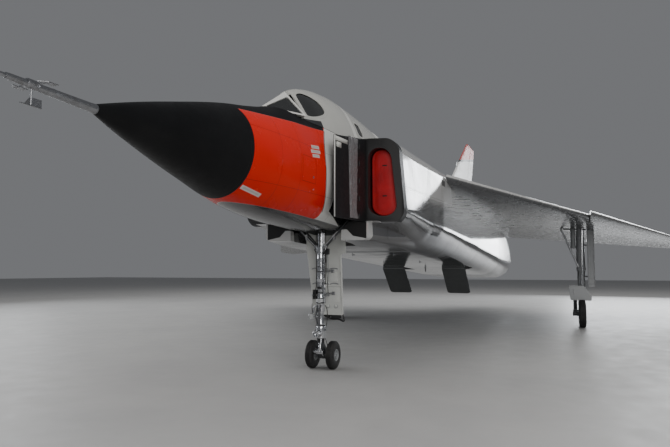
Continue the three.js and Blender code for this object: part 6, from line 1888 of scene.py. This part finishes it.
# torque links behind the piston, from the cylinder to the yoke
for y in (LY - 30, LY + 16):
    small.append(slab_data(rounded([(MX - 84, 1130), (MX - 120, 1130), (MX - 300, 1000), (MX - 300, 960), (MX - 262, 960), (MX - 84, 1070)], 0.25, 4), 1, y, y + 14))
    small.append(slab_data(rounded([(MX - 56, 830), (MX - 56, 880), (MX - 262, 990), (MX - 300, 990), (MX - 300, 950), (MX - 90, 822)], 0.25, 4), 1, y, y + 14))
small.append(bar_data((MX - 282, LY - 46, 976), (MX - 282, LY + 46, 976), 13, seg=14))
rod = [bar_data((MX + 108, 3868, 2740), (MX + 112, 3822, 1130), 26, seg=22), bar_data((MX + 108, 3868, 2745), (MX + 110, 3854, 2250), 36, seg=22),
       bar_data((MX + 60, 3824, 1140), (MX + 130, 3824, 1140), 22, seg=16)]
mpipes = [pipe_data([(MX + 60, 3892, 2700), (MX + 66, 3896, 2100), (MX + 84, 3912, 1620), (MX + 80, 3926, 1550), (MX + 66, 3898, 1480), (MX + 70, 3896, 1120), (MX + 60, 3860, 960), (MX + 52, 3680, 900), (MX + 66, 3640, 700), (MX + 66, 3640, 440)], 8, 8),
          pipe_data([(MX - 60, 3892, 2700), (MX - 66, 3896, 2000), (MX - 84, 3906, 1560), (MX - 66, 3898, 1400), (MX - 60, 3880, 1010), (MX - 60, 3680, 880), (MX - 64, 3636, 600), (MX - 300, 3610, 440)], 8, 8),
          pipe_data([(MX + 20, 3700, 2600), (MX + 40, 3706, 2200), (MX + 50, 3708, 1700), (MX + 96, 3760, 1560), (MX + 60, 3716, 1300)], 7, 8)]


def upright_plate(p, q, thick, z0, z1, r=10):
    p, q = np.array(p, float), np.array(q, float)
    n_ = np.array([q[1] - p[1], p[0] - q[0]])
    n_ /= np.linalg.norm(n_)
    e_ = (q - p) / np.linalg.norm(q - p)
    ln = np.linalg.norm(q - p)
    d = rbox_data(0, ln, 0, thick, z0, z1, r, 3)
    return place_data(d, (p[0], p[1], 0), (*e_, 0), (*n_, 0), (0, 0, 1)), e_, n_


pl, e_, n_ = upright_plate((MX + 130, 3968), (MX - 170, 4140), 26, 1060, 2700, 9)
mdoor_o = meet(mesh_obj(*pl), box(-12000, 5000, 0, 7000, 0, 2701))
mribs = []
for z in np.arange(1150, 2650, 150):
    mribs.append(place_data(rbox_data(14, 330, 25, 40, z - 6, z + 6, 3), (MX + 130, 3968, 0), (*e_, 0), (*n_, 0), (0, 0, 1)))
for w in (14, 322):
    mribs.append(place_data(rbox_data(w, w + 10, 24, 38, 1080, 2680, 3), (MX + 130, 3968, 0), (*e_, 0), (*n_, 0), (0, 0, 1)))
mlinks = [bar_data((MX, LY + 90, z), (MX + 20, 4050, z), 20, seg=14) for z in (2200, 1350)]
mlinks.append(bar_data((MX, LY, 1030), (MX + 168, LY - 10, 1030), 20, seg=14))
low = [(3484, 1110), (3872, 1096), (4056, 828), (4052, 702), (3520, 712)]
lowr = rounded(low, 0.07, 3)
lowd = loft_data([[(x, y, z) for y, z in shrunk(lowr, i)] for x, i in ((MX + 166, 3), (MX + 169, 0), (MX + 187, 0), (MX + 190, 3))])
lrib = [rbox_data(MX + 150, MX + 168, 3540, 3990, z - 7, z + 7, 3) for z in (760, 900)] + [rbox_data(MX + 150, MX + 168, y - 7, y + 7, 730, 1080, 3) for y in (3560, 3740)]
lrib += [bolt_data((MX + 190, y, z), (1, 0, 0), 5, 3) for y, z in [(3510 + 36 * k, 1088) for k in range(10)] + [(3545 + 40 * k, 730) for k in range(13)] + [(3506 + 1.4 * k, 1070 - 40 * k) for k in range(9)]]
lrib.append(rbox_data(MX + 189, MX + 196, 3600, 3640, 860, 1000, 3))
for side, fn in (("left", lambda d: d), ("right", flip_y)):
    grouped([fn(d) for d in mleg], f"main_leg_{side}_cylinder", "airframe", M["gear_grey"], [f"main_gear_leg_{side}"], 26)
    grouped([fn(d) for d in beam], f"main_leg_{side}_beam", "airframe", M["gear_dark"], (), 28)
    grouped([fn(d) for d in small], f"main_leg_{side}_brace", "airframe", M["steel"], [f"main_gear_brace_{side}"], 28)
    grouped([fn(d) for d in rod], f"main_leg_{side}_rod", "airframe", M["chrome"], (), 28)
    grouped([fn(d) for d in mpipes], f"main_leg_{side}_hoses", "airframe", M["hose"], (), 40)
    dd = clone(mdoor_o) if side == "left" else mirrored(mdoor_o)
    place(dd, f"main_door_{side}_plate", "airframe", M["door_grey"], [f"main_gear_door_{side}"], 26)
    grouped([fn(d) for d in mribs], f"main_door_{side}_ribs", "airframe", M["door_grey"], (), 28)
    grouped([fn(d) for d in mlinks], f"main_door_{side}_links", "airframe", M["steel"], (), 28)
    grouped([fn(d) for d in [lowd] + lrib], f"main_lower_door_{side}_plate", "airframe", M["door_grey"], [f"main_gear_lower_door_{side}"], 28)
drop(mdoor_o)

# =====================================================================
# lamps, aerials, vents and other small fittings
# =====================================================================


def blade(x, z, length, height, thick=12, sweep=0.6, down=False, y=0.0, sink=6):
    """small swept aerial standing on z at x, or hanging from it"""
    k = -1 if down else 1
    rings = []
    for h, c in ((-sink / height, 1.0), (0, 1.0), (0.5, 0.82), (0.93, 0.64), (1.0, 0.52)):
        q0 = x + length / 2 - height * h * sweep
        cl = length * c
        rings.append([(q0, y, z + k * height * h)] + [(q0 - cl * u, y + thick / 2 * c * w, z + k * height * h) for u, w in ((0.08, 0.6), (0.35, 1.0), (0.75, 0.7))] + [(q0 - cl, y, z + k * height * h)] + [(q0 - cl * u, y - thick / 2 * c * w, z + k * height * h) for u, w in ((0.75, 0.7), (0.35, 1.0), (0.08, 0.6))])
    return loft_data(rings)


def hit(node_objs, origin, direction):
    """first point of a skin along a ray, in millimetres"""
    best = None
    for o in node_objs:
        ok, p, n, _ = o.ray_cast(Vector(origin) * MM, Vector(direction).normalized())
        if ok:
            d_ = (p - Vector(origin) * MM).length
            if best is None or d_ < best[0]:
                best = (d_, np.array(p) / MM, np.array(n))
    return best


skins = [bpy.data.objects[n] for n in ("centre_fuselage_skin", "aft_fuselage_skin", "dorsal_spine_skin", "weapons_pack_shell", "forward_fuselage_skin", "tail_cone_shell", "wing_left_skin", "fin_skin") if n in bpy.data.objects]
bpy.context.view_layer.update()
small_black, small_white, small_steel = [], [], []
for x, L_, H_ in ((1.2, 210, 150), (-2.6, 180, 120), (-6.2, 220, 160)):
    h_ = hit(skins, (x * 1000, 0, 6000), (0, 0, -1))
    if h_ is not None:
        small_black.append(blade(x * 1000, h_[1][2], L_, H_))
for x, y, L_, H_ in ((-1.4, 0, 190, 105), (-4.9, 0, 230, 120)):
    h_ = hit(skins, (x * 1000, y, 400), (0, 0, 1))
    if h_ is not None:
        small_black.append(blade(x * 1000, h_[1][2], L_, H_, down=True, y=y))
# ram air scoops on the spine shoulders and flush vents with slats behind the intakes
for s in (1, -1):
    for x in (2500, -1500):
        h_ = hit(skins, (x, s * 330, 6000), (0, 0, -1))
        if h_ is not None:
            z = h_[1][2]
            outer_ = [[(x + 60 - q * 260, s * 330 + math.cos(t) * 46 * (1 - q * 0.72), z - 8 + max(0, math.sin(t)) * 52 * (1 - q * 0.9)) for t in np.linspace(0, math.pi, 13)] for q in (0, 0.3, 0.7, 1.0)]
            small_white.append(loft_data(outer_))
            small_black.append(loft_data([[(x + 60.5 + dx_, s * 330 + math.cos(t) * 36, z - 3 + max(0, math.sin(t)) * 40) for t in np.linspace(0, math.pi, 13)] for dx_ in (0, 1.2)]))
    for k in range(7):
        h_ = hit(skins, (3350 - 38 * k, s * 4000, 3120), (0, -s, 0))
        if h_ is not None:
            P_ = h_[1]
            small_black.append(rbox_data(P_[0] - 12, P_[0] + 6, min(P_[1] - s * 6, P_[1] + s * 4), max(P_[1] - s * 6, P_[1] + s * 4), 3070, 3170, 3))
grouped(small_black, "body_aerials", "airframe", M["black"], (), 34)
if small_white:
    grouped(small_white, "body_scoops", "airframe", M["white"], (), 40)
# navigation lamps on the wing tips
for s, key, nm in ((1, "lamp_red", "left"), (-1, "lamp_green", "right")):
    x, y = -7000.0, 7560.0
    h_ = hit(skins, (x, y, 6000), (0, 0, -1))
    if h_ is not None:
        z = h_[1][2]
        lampd = loft_data([[(x + 90 * q, s * (y + math.cos(t) * 20 * w), z - 6 + math.sin(t) * 16 * w) for t in 2 * np.pi * np.arange(18) / 18] for q, w in ((-1, 0.1), (-0.8, 0.7), (-0.3, 1), (0.3, 1), (0.8, 0.7), (1, 0.1))])
        grouped([lampd], f"wing_tip_lamp_{nm}", "airframe", M[key], (), 50)
# fuel and jacking points, drains, pitot on the hull side
for x, s in ((7300, 1), (7300, -1)):
    h_ = hit([bpy.data.objects["forward_fuselage_skin"]], (x, s * 4000, 2700), (0, -s, 0))
    if h_ is not None:
        P_ = h_[1]
        small_steel.append(turned_data(P_ - np.array([0, s * 4, 0]), (0.0, s, 0), [(0, 17), (6, 17), (8, 14), (8, 5)], 24))
        small_steel.append(bar_data(P_ - np.array([0, s * 6, 160]), P_ + np.array([26, s * 12, -160]), 5, seg=10))
for y in (-420, 420):
    for x in (3000, 900):
        h_ = hit(skins, (x, y, 400), (0, 0, 1))
        if h_ is not None:
            P_ = h_[1]
            small_steel.append(turned_data((P_[0], P_[1], P_[2] + 4), (0, 0, -1), [(0, 26), (8, 26), (10, 23), (10, 16), (7, 14), (7, 5)], 28))
            small_steel.append(bar_data((P_[0] + 90, P_[1], P_[2] + 4), (P_[0] + 78, P_[1], P_[2] - 26), 6, seg=10))
if small_steel:
    grouped(small_steel, "body_fittings", "airframe", M["steel"], (), 30)

# ===================================================================== floor, end
# floor, sizes, end
# =====================================================================
floor = mesh_obj([(-90000, -90000, 0), (90000, -90000, 0), (90000, 90000, 0), (-90000, 90000, 0)], [(0, 1, 2, 3)], "floor")
fg = Mat("floor_grey")
fg.set(Base_Color=fg.mix(fg.ramp(fg.noise(0.5, 4), 0.3, 0.7), (0.33, 0.33, 0.33), (0.37, 0.37, 0.365)), Roughness=fg.ramp(fg.noise(2.5, 4), 0.3, 0.7, 0.42, 0.55))
floor.data.materials.append(fg.m)
